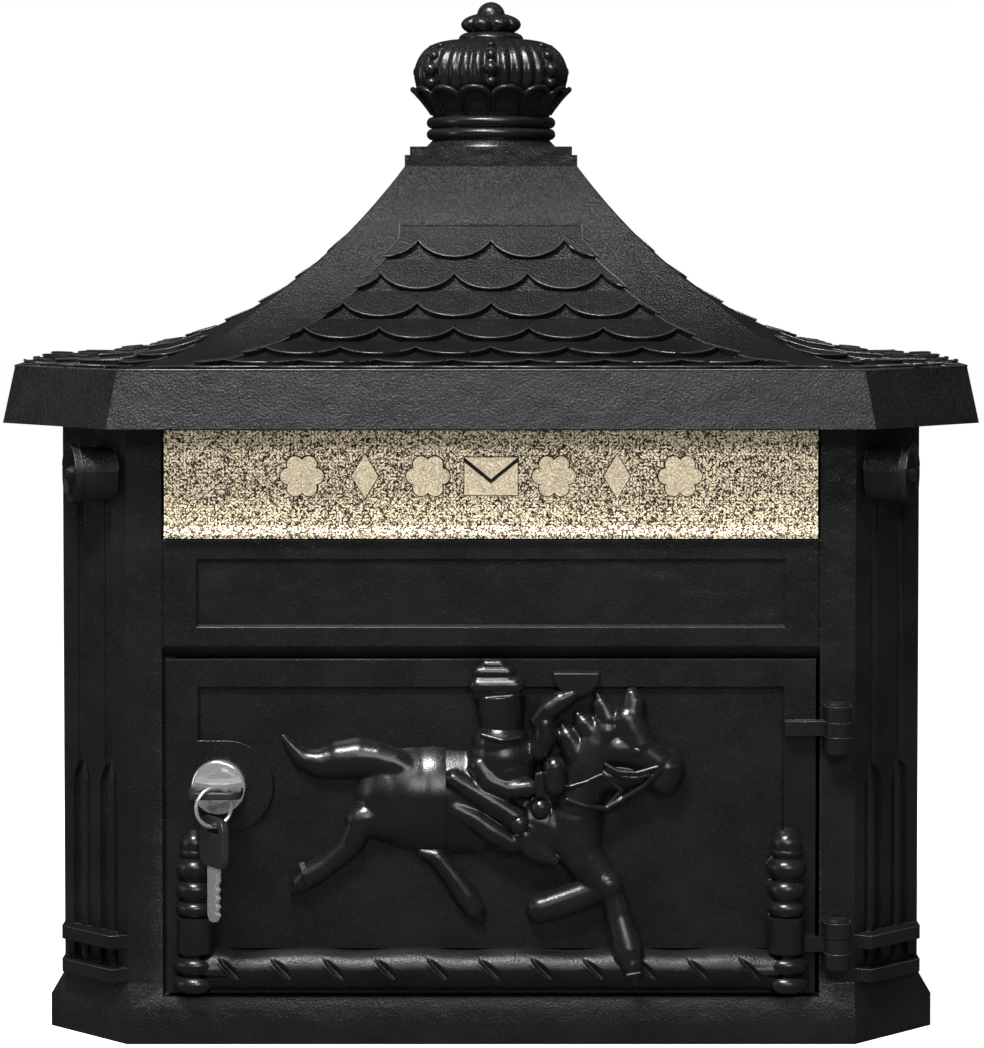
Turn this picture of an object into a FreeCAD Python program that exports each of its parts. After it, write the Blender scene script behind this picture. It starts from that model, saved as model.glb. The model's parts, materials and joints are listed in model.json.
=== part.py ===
"""Wall mounted post box: a cast case with a fish-scale roof, a crown finial, a brass letter flap
and a lockable front door. Millimetres, +Z up, the front faces -Y, the wall plane is y = 0.
The origin is the centre of the four wall holes. Heights are given above the base's underside."""
import FreeCAD, Part
import math
import os
import re
from FreeCAD import Placement, Rotation, Vector

import Sketcher

doc = FreeCAD.newDocument("wall_post_box")

SIZES = (
    ("mount_height", 130.0, "centre of the wall holes above the base's underside"),
    ("wall_hole_spread", 220.0, "wall holes, side to side"),
    ("wall_hole_rise", 130.0, "wall holes, bottom to top"),
    ("wall_hole_radius", 3.25, "wall hole radius"),
    ("fit_gap", 0.5, "gap of a loose cover in its frame"),
    ("running_gap", 0.05, "radial gap of a pin in its bore"),
    ("side_play", 0.3, "gap between faces that move past each other"),
    # Case
    ("body_half", 176.8, "half the width of the case"),
    ("body_front", 168.0, "front face of the case from the wall"),
    ("body_corner", 29.0, "leg of the case's front corner chamfer"),
    ("body_top", 255.0, "top rim of the case"),
    ("wall_thick", 4.0, "casting wall"),
    ("base_half", 182.8, "half the width of the base"),
    ("base_front", 172.0, "front of the base from the wall"),
    ("base_corner", 34.8, "leg of the base's front corner chamfer"),
    ("base_band", 13.5, "upright band of the base"),
    ("base_shoulder", 10.0, "sloped shoulder above the band"),
    ("opening_half", 133.5, "half the width of the front opening"),
    ("opening_low", 19.0, "bottom of the front opening"),
    ("jamb_depth", 20.0, "depth of the jambs behind the front face"),
    ("jamb_thick", 4.0, "thickness of a jamb"),
    ("stop_width", 3.5, "door stop behind the door's free edge"),
    ("stop_thick", 3.0, "thickness of the door stop"),
    # Sill rail between flap and door
    ("rail_low", 156.8, "back lower edge of the sill rail"),
    ("rail_top", 204.8, "top of the sill rail"),
    ("rail_thick", 6.0, "thickness of the sill rail"),
    ("rail_chamfer", 5.2, "chamfer along the rail's lower edge"),
    ("rail_panel_half", 119.6, "half the width of the rail's panel"),
    ("rail_panel_low", 169.4, "bottom of the rail's panel"),
    ("rail_panel_high", 197.4, "top of the rail's panel"),
    ("panel_depth", 1.5, "depth of the rail's panel"),
    ("groove_width", 0.9, "joint line at the rail's ends"),
    # Fluted corners
    ("flute_pitch", 17.4, "between the two flutes of a corner"),
    ("flute_radius", 2.35, "radius of a flute"),
    ("flute_top", 240.0, "top of the flutes"),
    ("channel_width", 11.7, "widened lower part of a flute"),
    ("channel_depth", 2.0, "depth of the channel"),
    ("channel_low", 24.0, "bottom of the channels"),
    ("channel_spring", 104.0, "where the channel's pointed head springs"),
    ("channel_point", 114.0, "point of the channel's head"),
    ("reed_radius", 2.2, "radius of the reed in a channel"),
    ("band_height", 5.2, "height of a band across a corner"),
    ("band_low", 25.0, "underside of the lower band"),
    ("band_high", 38.7, "underside of the upper band"),
    ("band_proud", 7.0, "how far a band stands off the corner"),
    ("scroll_radius", 11.0, "drum of the scroll under the eave"),
    ("scroll_length", 15.0, "length of the drum"),
    ("scroll_level", 231.5, "height of the drum's axis"),
    ("scroll_turn", 20.0, "turn of the drum's axis towards the front, degrees"),
    ("scroll_across", 161.5, "drum's centre, side to side"),
    ("scroll_out", 161.0, "drum's centre from the wall"),
    ("scroll_rim", 1.4, "rim of the drum's end disc"),
    ("scroll_eye", 3.6, "radius of the eye in the end disc"),
    # Back plate
    ("plate_thick", 3.0, "thickness of the back plate"),
    ("lug_size", 12.0, "lugs that take the screws"),
    ("lug_low", 27.0, "lower back-plate lugs"),
    ("lug_high", 226.0, "upper back-plate lugs"),
    ("screw_radius", 1.95, "screw shank radius"),
    ("screw_clearance", 0.15, "radial gap of a screw in its clearance hole"),
    ("screw_head", 4.0, "screw head radius"),
    ("screw_head_height", 2.4, "screw head height"),
    ("back_screw_length", 13.0, "length of a back-plate screw"),
    ("roof_screw_length", 19.0, "length of a roof screw's shank"),
    ("roof_lug_height", 10.0, "height of the roof lugs"),
    ("roof_lug_front", 126.0, "front roof screws from the wall"),
    ("roof_lug_back", 24.0, "rear roof screws from the wall"),
    # Roof
    ("eave_low", 251.2, "underside of the fascia"),
    ("eave_half", 201.0, "half the width of the eave's lower edge"),
    ("eave_front", 190.0, "front of the eave's lower edge from the wall"),
    ("eave_corner", 47.5, "leg of the eave's corner chamfer"),
    ("fascia_height", 23.4, "height of the fascia"),
    ("fascia_lean", 4.6, "how far the fascia leans in at its top"),
    ("roof_rise", 83.4, "rise of the slopes from fascia to plinth"),
    ("roof_linear", 0.08, "straight share of the slope's rise"),
    ("roof_power", 2.74, "how sharply the slope turns up"),
    ("roof_wall", 3.0, "offset of the roof's inside"),
    ("soffit_thick", 3.0, "thickness of the soffit"),
    ("soffit_half", 130.0, "half the width of the soffit's hole"),
    ("soffit_front", 140.0, "front of the soffit's hole from the wall"),
    ("soffit_back", 20.0, "back of the soffit's hole from the wall"),
    ("plinth_half", 37.2, "half the width of the plinth's lower step"),
    ("plinth_depth", 70.0, "depth of the plinth's lower step"),
    ("plinth_step", 4.9, "height of the lower step"),
    ("plinth_cap", 3.7, "height of the upper step"),
    ("plinth_inset", 2.2, "how far the upper step is set in"),
    ("hip_width", 11.0, "smooth band beside a corner slope's field"),
    ("hip_merge", 0.62, "share of the run where a corner slope runs out"),
    ("hip_soft", 3.0, "how softly it runs out"),
    ("hip_edge", 0.8, "flat left along the hip above it"),
    ("field_margin", 57.4, "plan distance from the field to the hip at the eave"),
    ("field_margin_top", 19.2, "the same at the plinth"),
    ("field_top", 38.9, "half width of the front field's upper edge"),
    ("course_pitch", 17.6, "shingle courses, measured down the slope"),
    ("course_start", 0.13, "share of the run above the first course"),
    ("scale_width", 31.0, "width of one scale"),
    ("scale_drop", 9.5, "depth of a scale's round end"),
    ("scale_proud", 1.3, "lift of a scale's lower edge"),
    ("scale_sunk", 0.5, "how deep a scale's upper edge sits"),
    ("scale_thick", 2.6, "thickness of a course"),
    ("field_depth", 1.1, "how deep the shingle fields are set in"),
    # Finial
    ("finial_out", 35.0, "finial's axis from the wall"),
    ("finial_collar", 28.5, "radius of the finial's foot rings"),
    ("petal_count", 14.0, "petals of the cup"),
    ("petal_tip", 5.2, "radius of a petal's rolled tip"),
    ("rib_share", 5.0, "ribs of the bulb from one bead column to the next"),
    ("bead_columns", 7.0, "columns of beads on the bulb"),
    ("bulb_radius", 31.0, "largest radius of the bulb"),
    ("stud_radius", 3.9, "finial stud radius"),
    ("stud_depth", 18.0, "stud's reach into the finial"),
    ("stud_tail", 22.0, "stud's reach below the plinth's top"),
    ("nut_flat", 6.5, "half the finial nut across its flats"),
    ("nut_height", 6.4, "height of the finial nut"),
    ("washer_radius", 9.0, "finial washer radius"),
    ("washer_thick", 1.6, "finial washer thickness"),
    # Letter flap
    ("flap_half", 132.4, "half the width of the flap"),
    ("flap_low", 205.8, "lower edge of the flap"),
    ("flap_top", 249.5, "upper edge of the flap"),
    ("flap_thick", 3.0, "thickness of the flap"),
    ("flap_lip", 2.8, "how far the flap's lower lip stands out"),
    ("flap_axis_out", 161.0, "flap's axis from the wall"),
    ("flap_axis_level", 246.2, "height of the flap's axis"),
    ("flap_barrel", 3.0, "radius of the flap's barrel"),
    ("flap_rod", 1.6, "radius of the flap's rod"),
    ("clip_radius", 2.9, "radius of the rod's clips"),
    ("clip_thick", 1.0, "thickness of the rod's clips"),
    ("motif_level", 231.0, "centre line of the flap's raised motifs"),
    ("motif_pitch", 25.5, "between the flap's motifs"),
    ("motif_radius", 9.0, "radius of a rosette"),
    ("motif_proud", 1.2, "height of the raised motifs"),
    # Door
    ("door_gap", 1.7, "gap beside the door"),
    ("door_low", 20.3, "lower edge of the door"),
    ("door_top", 156.3, "upper edge of the door"),
    ("door_thick", 4.5, "thickness of the door's frame"),
    ("door_panel_half", 119.1, "half the width of the door's panel"),
    ("door_panel_low", 30.0, "bottom of the door's panel"),
    ("door_panel_high", 145.4, "top of the door's panel"),
    ("door_panel_depth", 2.0, "depth of the door's panel"),
    ("boss_radius", 18.5, "radius of the boss round the lock"),
    ("boss_across", 107.2, "centre of the boss from the middle"),
    ("post_across", 120.0, "posts from the middle"),
    ("post_low", 21.5, "foot of the posts"),
    ("post_out", 2.0, "post's axis in front of the door's face"),
    ("post_radius", 6.8, "post shaft radius"),
    ("post_ring", 8.0, "post ring radius"),
    ("post_foot", 9.3, "post foot ring radius"),
    ("rope_radius", 8.1, "rope rail radius"),
    ("rope_level", 29.9, "height of the rope rail's axis"),
    ("rope_out", 1.5, "rope rail's axis in front of the door's face"),
    ("rope_groove", 1.7, "width of a rope slit"),
    ("rope_groove_depth", 1.9, "depth of a rope slit at its middle"),
    ("rope_groove_rise", 1.0, "how far above the rail's axis the slits sit"),
    ("rope_cutter", 30.0, "radius of the disc that would cut a slit"),
    ("rope_turn", 45.0, "slant of the rope slits, degrees"),
    ("rope_strands", 11.0, "slits along the rope rail"),
    # Relief
    ("peg_radius", 1.5, "pegs that hold the relief in the door"),
    ("peg_level", 98.0, "height of the pegs"),
    ("bell_radius", 9.6, "radius of the bugle's half-round bell"),
    ("bell_rise", 6.5, "how far the bell stands off the panel"),
    ("bell_across", 34.4, "bell's centre, side to side"),
    ("bell_level", 151.3, "flat edge of the bell"),
    # Hinges
    ("hinge_across", 140.3, "hinge axis from the middle"),
    ("hinge_proud", 5.7, "hinge axis in front of the face"),
    ("knuckle_radius", 5.3, "hinge knuckle radius"),
    ("knuckle_height", 6.2, "height of a fixed knuckle"),
    ("strap_height", 5.7, "height of a hinge strap"),
    ("strap_high", 128.9, "centre of the upper strap"),
    ("strap_low", 40.9, "centre of the lower strap"),
    ("strap_start", 119.0, "where a strap starts on the door"),
    ("strap_thick", 4.6, "thickness of a strap"),
    ("hinge_pin", 2.5, "hinge pin radius"),
    ("pin_cap", 4.7, "radius of a hinge pin's cap"),
    ("pin_cap_height", 1.6, "height of a hinge pin's cap"),
    # Lock
    ("lock_across", 110.6, "lock's axis from the middle"),
    ("lock_level", 104.7, "height of the lock's axis"),
    ("lock_head", 11.0, "radius of the lock's head"),
    ("lock_head_height", 3.5, "height of the lock's head"),
    ("lock_barrel", 8.9, "radius of the lock's barrel"),
    ("lock_reach", 21.0, "length of the barrel behind the door's face"),
    ("plug_radius", 6.0, "radius of the lock's plug"),
    ("plug_proud", 0.5, "plug in front of the lock's head"),
    ("plug_square", 3.5, "half the side of the plug's square end"),
    ("plug_square_length", 2.2, "length of the square end"),
    ("lock_nut_flat", 11.0, "half the lock nut across its flats"),
    ("lock_nut_height", 4.0, "height of the lock nut"),
    ("lock_washer_thick", 0.8, "thickness of the lock washer"),
    ("lock_washer_radius", 12.0, "radius of the lock washer"),
    ("cam_length", 32.0, "reach of the cam"),
    ("cam_width", 14.0, "width of the cam"),
    ("cam_thick", 2.0, "thickness of the cam"),
    ("cam_screw_head", 4.2, "radius of the cam screw's head"),
    ("cam_screw_length", 6.5, "length of the cam screw's shank"),
    ("cam_screw_radius", 1.5, "radius of the cam screw's shank"),
    # Keys
    ("blade_width", 8.4, "width of a key blade"),
    ("blade_thick", 2.0, "thickness of a key blade"),
    ("blade_length", 22.0, "blade in front of the shoulder"),
    ("blade_tang", 6.0, "blade's tang inside the head"),
    ("slot_gap", 0.15, "gap of the blade in the keyway"),
    ("bow_stand", 3.0, "gap between the key's head and the lock"),
    ("bow_width", 21.6, "width of a key's head"),
    ("bow_length", 20.0, "length of a key's head"),
    ("bow_thick", 3.0, "thickness of a key's head"),
    ("bow_round", 5.0, "corner radius of a key's head"),
    ("bow_edge", 2.8, "rim between a key's slot and its edge"),
    ("bow_slot", 4.2, "width of the slot in a key's head"),
    ("bow_slot_length", 14.0, "length of the slot"),
    ("ring_radius", 7.75, "key ring's centre-line radius"),
    ("ring_wire", 0.75, "key ring's wire radius"),
    ("ring_turn", 30.0, "turn of the ring from facing front, degrees"),
    ("ring_drop", 4.4, "ring's centre below the key"),
)

sheet = doc.addObject("Spreadsheet::Sheet", "sizes")
for row, (alias, value, note) in enumerate(SIZES, start=1):
    sheet.set(f"A{row}", alias)
    sheet.set(f"B{row}", str(value))
    sheet.setAlias(f"B{row}", alias)
    sheet.set(f"C{row}", note)
doc.recompute()

ALIASES = {alias for alias, _, _ in SIZES}
WORD = re.compile(r"[A-Za-z_]\w*")
UP, ACROSS, DEEP = Vector(0, 0, 1), Vector(1, 0, 0), Vector(0, 1, 0)
SIDES = (-1, 1)
pieces = []


def size(alias):
    """The value of one driving dimension."""
    return float(sheet.get(alias))


def level(height):
    """A height above the base's underside as a z coordinate."""
    return height - size("mount_height")


def formula(text):
    """An expression on the sheet's aliases, as the document needs it."""
    return WORD.sub(lambda word: f"sizes.{word[0]}" if word[0] in ALIASES else word[0], text)


def bind(item, **formulas):
    """Ties properties of an object to the sheet."""
    for name, text in formulas.items():
        item.setExpression(name, formula(text))
    return item


def place(item, x="0", y="0", height="0", turn=None):
    """Puts an object at a place given by expressions; height is above the base's underside."""
    if turn is not None:
        item.Placement = Placement(Vector(), turn)
    item.setExpression("Placement.Base.x", formula(x))
    item.setExpression("Placement.Base.y", formula(y))
    item.setExpression("Placement.Base.z", formula(f"{height} - mount_height"))
    return item


def named(kind, label):
    """A new document object with a label."""
    item = doc.addObject(kind, label)
    item.Label = label
    return item


def box(label, x, y, height, length, width, tall):
    """A block from its lowest corner."""
    item = bind(named("Part::Box", label), Length=length, Width=width, Height=tall)
    return place(item, x, y, height)


def cylinder(label, x, y, height, radius, length, axis=UP):
    """A cylinder that starts at a point and runs along an axis."""
    item = bind(named("Part::Cylinder", label), Radius=radius, Height=length)
    return place(item, x, y, height, Rotation(UP, axis))


def ball(label, x, y, height, radius):
    """A sphere."""
    return place(bind(named("Part::Sphere", label), Radius=radius), x, y, height)


def fuse(label, items):
    """The union of several objects."""
    item = named("Part::MultiFuse", label)
    item.Shapes = items
    return item


def cut(label, base, tools):
    """One object less others."""
    item = named("Part::Cut", label)
    item.Base = base
    item.Tool = tools[0] if len(tools) == 1 else fuse(f"{label}_tools", tools)
    return item


def common(label, base, tool):
    """What two objects share."""
    item = named("Part::Common", label)
    item.Base, item.Tool = base, tool
    return item


def solid(label, shape, move=None):
    """A shape worked out here, kept as an object of the document."""
    item = named("Part::Feature", label)
    item.Shape = shape
    item.Placement = move or Placement()
    return item


def piece(item, node):
    """Names a finished sub-part."""
    item.Label = node
    pieces.append(item)
    return item


def draw(sketch, corners):
    """A closed outline of straight lines whose corners are bound to the sheet."""
    spread = 10.0
    count = len(corners)
    guess = [Vector(spread * math.cos(2 * math.pi * i / count), spread * math.sin(2 * math.pi * i / count), 0)
             for i in range(count)]
    for i in range(count):
        sketch.addGeometry(Part.LineSegment(guess[i], guess[(i + 1) % count]), False)
    for i in range(count):
        sketch.addConstraint(Sketcher.Constraint("Coincident", i, 2, (i + 1) % count, 1))
    for i, pair in enumerate(corners):
        for kind, text in zip(("DistanceX", "DistanceY"), pair):
            index = sketch.addConstraint(Sketcher.Constraint(kind, -1, 1, i, 1, spread))
            sketch.setExpression(f"Constraints[{index}]", formula(text))
    return sketch


def plane_sketch(body, label, role, corners):
    """A sketch on one of a body's origin planes."""
    sketch = body.newObject("Sketcher::SketchObject", label)
    plane = next(feature for feature in body.Origin.OriginFeatures if feature.Role == role)
    sketch.AttachmentSupport = [(plane, "")]
    sketch.MapMode = "FlatFace"
    return draw(sketch, corners)


def pad(label, role, corners, length, centred=False):
    """A body padded from an outline; XY pads go up, XZ pads go to the front, YZ pads to the right."""
    body = named("PartDesign::Body", label)
    feature = body.newObject("PartDesign::Pad", f"{label}_pad")
    feature.Profile = plane_sketch(body, f"{label}_outline", role, corners)
    feature.Midplane = centred
    bind(feature, Length=length)
    body.Tip = feature
    return body


def turned(label, corners, x="0", y="0", height="0", axis=None):
    """A body turned about its own upright axis from a profile of radius and height."""
    body = named("PartDesign::Body", label)
    sketch = plane_sketch(body, f"{label}_profile", "XZ_Plane", corners)
    feature = body.newObject("PartDesign::Revolution", f"{label}_turning")
    feature.Profile = sketch
    feature.ReferenceAxis = (sketch, ["V_Axis"])
    feature.Angle = 360.0
    body.Tip = feature
    return place(body, x, y, height, Rotation(UP, axis or UP))


def plan(half, front, corner, back="0"):
    """The plan of the case: a rectangle with its two front corners cut off."""
    return [(f"-({half})", back), (f"-({half})", f"-({front}) + {corner}"),
            (f"-({half}) + {corner}", f"-({front})"), (f"({half}) - {corner}", f"-({front})"),
            (f"{half}", f"-({front}) + {corner}"), (f"{half}", back)]


# Case

FACE = "-body_front"


def corner_frame(side):
    """Placement of a corner facet: x along the facet to the side, y into the wall, z up."""
    half, front, leg = size("body_half"), size("body_front"), size("body_corner")
    middle = Vector(side * (half - leg / 2), -front + leg / 2, level(0))
    return Placement(middle, Rotation(UP, 45 * side))


def corner_cutters(side):
    """Flutes and pointed channels of one corner, and the reeds that stand in the channels."""
    frame = corner_frame(side)
    radius, half = size("flute_radius"), size("channel_width") / 2
    low, spring, point = size("channel_low"), size("channel_spring"), size("channel_point")
    depth, reed = size("channel_depth"), size("reed_radius")
    cutters, reeds = [], []
    for place_on_facet in (-size("flute_pitch") / 2, size("flute_pitch") / 2):
        base = Vector(place_on_facet, 0, spring)
        flute = Part.makeCylinder(radius, size("flute_top") - spring, base)
        left, right = Vector(place_on_facet - half, 0, low), Vector(place_on_facet + half, 0, low)
        left_spring, right_spring = Vector(left.x, 0, spring), Vector(right.x, 0, spring)
        tip = Vector(place_on_facet, 0, point)
        swell = Vector(half * 0.62, 0, (point - spring) * 0.55)
        head = [Part.Arc(left_spring, Vector(place_on_facet - swell.x, 0, spring + swell.z), tip).toShape(),
                Part.Arc(tip, Vector(place_on_facet + swell.x, 0, spring + swell.z), right_spring).toShape()]
        sides = [Part.makeLine(left, left_spring), Part.makeLine(right_spring, right), Part.makeLine(right, left)]
        face = Part.Face(Part.Wire([sides[0], head[0], head[1], sides[1], sides[2]]))
        face.translate(Vector(0, -1, 0))
        cutters += [flute, face.extrude(Vector(0, depth + 1, 0))]
        stem = Part.makeCylinder(reed, spring - low, Vector(place_on_facet, depth, low))
        cone = Part.makeCone(reed, reed * 0.2, point - spring, Vector(place_on_facet, depth, spring))
        reeds.append(stem.fuse(cone))
    tool = cutters[0].multiFuse(cutters[1:])
    grain = reeds[0].multiFuse(reeds[1:])
    for shape in (tool, grain):
        shape.Placement = frame
    return tool, grain


def corner_band(side, low):
    """One bar across a corner: it dies into the front face and ends flush with the side."""
    half, front, leg = size("body_half"), size("body_front"), size("body_corner")
    proud, height = size("band_proud") * math.sqrt(2), size("band_height")
    sunk = 1.0
    corners = [(half, -front + leg - proud), (half, -front + leg + sunk), (half - leg - sunk, -front + sunk),
               (half - leg, -front), (half - leg + proud * 0.67, -front - proud * 0.33)]
    points = [Vector(side * x, y, level(low)) for x, y in corners]
    return Part.Face(Part.makePolygon(points + points[:1])).extrude(Vector(0, 0, height))


def scroll(side):
    """The drum under the eave, with a rimmed end disc and an eye."""
    radius, length, rim = size("scroll_radius"), size("scroll_length"), size("scroll_rim")
    drum = Part.makeCylinder(radius, length, Vector(0, 0, -length / 2))
    disc = Part.makeCylinder(radius + rim, 2 * rim, Vector(0, 0, length / 2))
    dish = Part.makeCone(radius - rim, radius, rim, Vector(0, 0, length / 2 + rim))
    eye = Part.makeSphere(size("scroll_eye"), Vector(0, 0, length / 2 + rim))
    shape = drum.fuse(disc).cut(dish).fuse(eye)
    turn = Rotation(UP, -side * size("scroll_turn")).multiply(Rotation(UP, Vector(side, 0, 0)))
    shape.Placement = Placement(Vector(side * size("scroll_across"), -size("scroll_out"),
                                       level(size("scroll_level"))), turn)
    return shape


def shoulder():
    """The sloped step between the base's band and the case."""
    sections = []
    for half, front, leg, height in (("base_half", "base_front", "base_corner", size("base_band")),
                                     ("body_half", "body_front", "body_corner",
                                      size("base_band") + size("base_shoulder"))):
        w, f, c = size(half), size(front), size(leg)
        ring = [(-w, 0), (-w, -f + c), (-w + c, -f), (w - c, -f), (w, -f + c), (w, 0)]
        points = [Vector(x, y, level(height)) for x, y in ring]
        sections.append(Part.makePolygon(points + points[:1]))
    return Part.makeLoft(sections, True, True)


def case_shell():
    """Walls, floor and base, with the front opening."""
    outer = place(pad("case_outer", "XY_Plane", plan("body_half", "body_front", "body_corner"), "body_top"))
    base = place(pad("case_base", "XY_Plane", plan("base_half", "base_front", "base_corner"), "base_band"))
    slope = solid("case_shoulder", shoulder())
    inner_leg = "(body_corner - wall_thick * (2 - sqrt(2)))"
    hollow = place(pad("case_hollow", "XY_Plane",
                       plan("(body_half - wall_thick)", "(body_front - wall_thick)", inner_leg, "wall_thick"),
                       "body_top"), height="wall_thick")
    opening = box("case_opening", "-opening_half", "-base_front - wall_thick", "opening_low",
                  "2 * opening_half", "base_front - body_front + 2 * wall_thick", "body_top")
    return cut("case_shell", fuse("case_outside", [outer, base, slope]), [hollow, opening])


def jambs():
    """Flanges behind the opening's sides, the door stop and the flap's stops."""
    parts = []
    for side in SIDES:
        start = "opening_half" if side > 0 else "-opening_half - jamb_thick"
        parts.append(box(f"jamb_{side}", start, f"{FACE} + wall_thick / 2", "wall_thick / 2",
                         "jamb_thick", "jamb_depth - wall_thick / 2", "body_top - wall_thick / 2"))
        flap_stop = "opening_half - 5" if side > 0 else "-opening_half"
        parts.append(box(f"flap_stop_{side}", flap_stop, f"{FACE} + flap_thick + side_play",
                         "flap_low + 3", "5", "stop_thick", "6"))
    parts.append(box("door_stop", "-opening_half", f"{FACE} + door_thick + side_play", "opening_low",
                     "stop_width + door_gap", "stop_thick", "rail_low - opening_low"))
    return parts


def sill_rail():
    """The fixed rail between flap and door, with its sunk panel and a chamfered lower edge."""
    face, back = FACE, f"{FACE} + rail_thick"
    profile = [(face, "rail_low + rail_chamfer"), (face, "rail_top"), (back, "rail_top"),
               (back, "rail_low"), (f"{FACE} + rail_chamfer", "rail_low")]
    bar = place(pad("sill_bar", "YZ_Plane", profile, "2 * opening_half + jamb_thick", centred=True))
    panel = box("sill_panel", "-rail_panel_half", f"{FACE} - 1", "rail_panel_low",
                "2 * rail_panel_half", "panel_depth + 1", "rail_panel_high - rail_panel_low")
    lines = [box(f"sill_line_{side}", f"{side} * (opening_half - groove_width / 2) - groove_width / 2",
                 f"{FACE} - 1", "rail_low", "groove_width", "1 + groove_width", "rail_top - rail_low + 1")
             for side in SIDES]
    return cut("sill_rail", bar, [panel] + lines)


def fixed_knuckles(name, strap):
    """The two knuckles of one hinge that are cast on the case."""
    parts = []
    rises = (f"{strap} + strap_height / 2 + side_play", f"{strap} - strap_height / 2 - side_play - knuckle_height")
    for end, rise in zip(("top", "bottom"), rises):
        parts.append(cylinder(f"knuckle_{name}_{end}", "hinge_across", f"{FACE} - hinge_proud", rise,
                              "knuckle_radius", "knuckle_height"))
        parts.append(box(f"knuckle_lug_{name}_{end}", "hinge_across - knuckle_radius", f"{FACE} - hinge_proud",
                         rise, "2 * knuckle_radius", "hinge_proud + 0.5", "knuckle_height"))
    return parts


def screw_lugs():
    """Blocks inside the case: four for the back plate, four for the roof."""
    lugs, holes = [], []
    inner = "(body_half - wall_thick)"
    for side in SIDES:
        start = f"{inner} - lug_size" if side > 0 else f"-{inner} - 0.5"
        middle = f"{side} * ({inner} - lug_size / 2)"
        for rise in ("lug_low", "lug_high"):
            lugs.append(box(f"back_lug_{rise}_{side}", start, "-plate_thick - lug_size", f"{rise} - lug_size / 2",
                            "lug_size + 0.5", "lug_size", "lug_size"))
            holes.append(cylinder(f"back_lug_hole_{rise}_{side}", middle, "-plate_thick - lug_size - 1", rise,
                                  "screw_radius + running_gap", "lug_size + 2", DEEP))
        for out in ("roof_lug_front", "roof_lug_back"):
            lugs.append(box(f"{out}_{side}", start, f"-{out} - lug_size / 2", "body_top - roof_lug_height",
                            "lug_size + 0.5", "lug_size", "roof_lug_height"))
            holes.append(cylinder(f"{out}_hole_{side}", middle, f"-{out}", "body_top - roof_lug_height - 1",
                                  "screw_radius + screw_clearance", "roof_lug_height + 2"))
    return lugs, holes


def body_casting():
    """The case casting."""
    lugs, holes = screw_lugs()
    ornaments, cutters = [], []
    for side in SIDES:
        tool, reeds = corner_cutters(side)
        cutters.append(solid(f"flutes_{side}", tool, tool.Placement))
        ornaments.append(solid(f"reeds_{side}", reeds, reeds.Placement))
        drum = scroll(side)
        ornaments.append(solid(f"scroll_{side}", drum, drum.Placement))
        for name in ("band_low", "band_high"):
            ornaments.append(solid(f"{name}_{side}", corner_band(side, size(name))))
    fluted = cut("case_fluted", case_shell(), cutters)
    knuckles = fixed_knuckles("upper", "strap_high") + fixed_knuckles("lower", "strap_low")
    whole = fuse("case_whole", [fluted, sill_rail()] + jambs() + lugs + knuckles + ornaments)
    holes += [cylinder(f"hinge_bore_{name}", "hinge_across", f"{FACE} - hinge_proud",
                       f"{name} - strap_height - 2 * knuckle_height", "hinge_pin + running_gap",
                       "2 * strap_height + 4 * knuckle_height") for name in ("strap_high", "strap_low")]
    holes.append(cylinder("flap_rod_bore", "-opening_half - 2 * jamb_thick", "-flap_axis_out", "flap_axis_level",
                          "flap_rod + running_gap", "2 * opening_half + 4 * jamb_thick", ACROSS))
    piece(cut("body_casting", whole, holes), "body_casting")


# Back plate

def back_plate():
    """The flat plate that closes the back and hangs on the wall."""
    half, low, high = "(body_half - wall_thick - fit_gap)", "(wall_thick + fit_gap)", "(body_top - fit_gap)"
    outline = [(f"-{half}", low), (half, low), (half, high), (f"-{half}", high)]
    plate = place(pad("back_plate_blank", "XZ_Plane", outline, "plate_thick"))
    holes = []
    for side in SIDES:
        for rise in (-1, 1):
            holes.append(cylinder(f"wall_hole_{side}_{rise}", f"{side} * wall_hole_spread / 2", "-plate_thick - 1",
                                  f"mount_height + {rise} * wall_hole_rise / 2", "wall_hole_radius",
                                  "plate_thick + 2", DEEP))
        for rise in ("lug_low", "lug_high"):
            middle = f"{side} * (body_half - wall_thick - lug_size / 2)"
            holes.append(cylinder(f"plate_hole_{rise}_{side}", middle, "-plate_thick - 1", rise,
                                  "screw_radius + screw_clearance", "plate_thick + 2", DEEP))
            sink = bind(named("Part::Cone", f"plate_sink_{rise}_{side}"), Radius1="screw_radius + screw_clearance",
                        Radius2="screw_head + screw_clearance", Height="screw_head_height")
            holes.append(place(sink, middle, "-screw_head_height", rise, Rotation(UP, DEEP)))
    piece(cut("back_plate", plate, holes), "back_plate")


def screws(node, spots, axis, head):
    """A group of like screws; a spot is x, y and height of the head's outer face, the shank runs along -axis."""
    length = "back_screw_length" if head == "sunk" else "roof_screw_length"
    under = "screw_radius" if head == "sunk" else "screw_head"
    shank = f"-screw_head_height - ({length} - screw_head_height)" if head == "sunk" else f"-screw_head_height - {length}"
    profile = [("0", "0"), ("screw_head - 0.02", "0"), (under, "-screw_head_height"),
               ("screw_radius", "-screw_head_height"), ("screw_radius", shank), ("0", shank)]
    if head == "sunk":
        profile.pop(2)
    items = [turned(f"{node}_{i}", profile, *spot, axis) for i, spot in enumerate(spots)]
    group = named("Part::Compound", node)
    group.Links = items
    piece(group, node)


def fasteners():
    """Back-plate screws and roof screws."""
    middle = "(body_half - wall_thick - lug_size / 2)"
    spots = [(f"{side} * {middle}", "0", rise) for side in SIDES for rise in ("lug_low", "lug_high")]
    screws("back_plate_screws", spots, DEEP, "sunk")
    spots = [(f"{side} * {middle}", f"-{out}", "body_top - roof_lug_height - screw_head_height")
             for side in SIDES for out in ("roof_lug_front", "roof_lug_back")]
    screws("roof_screws", spots, Vector(0, 0, -1), "pan")


# Roof

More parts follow.
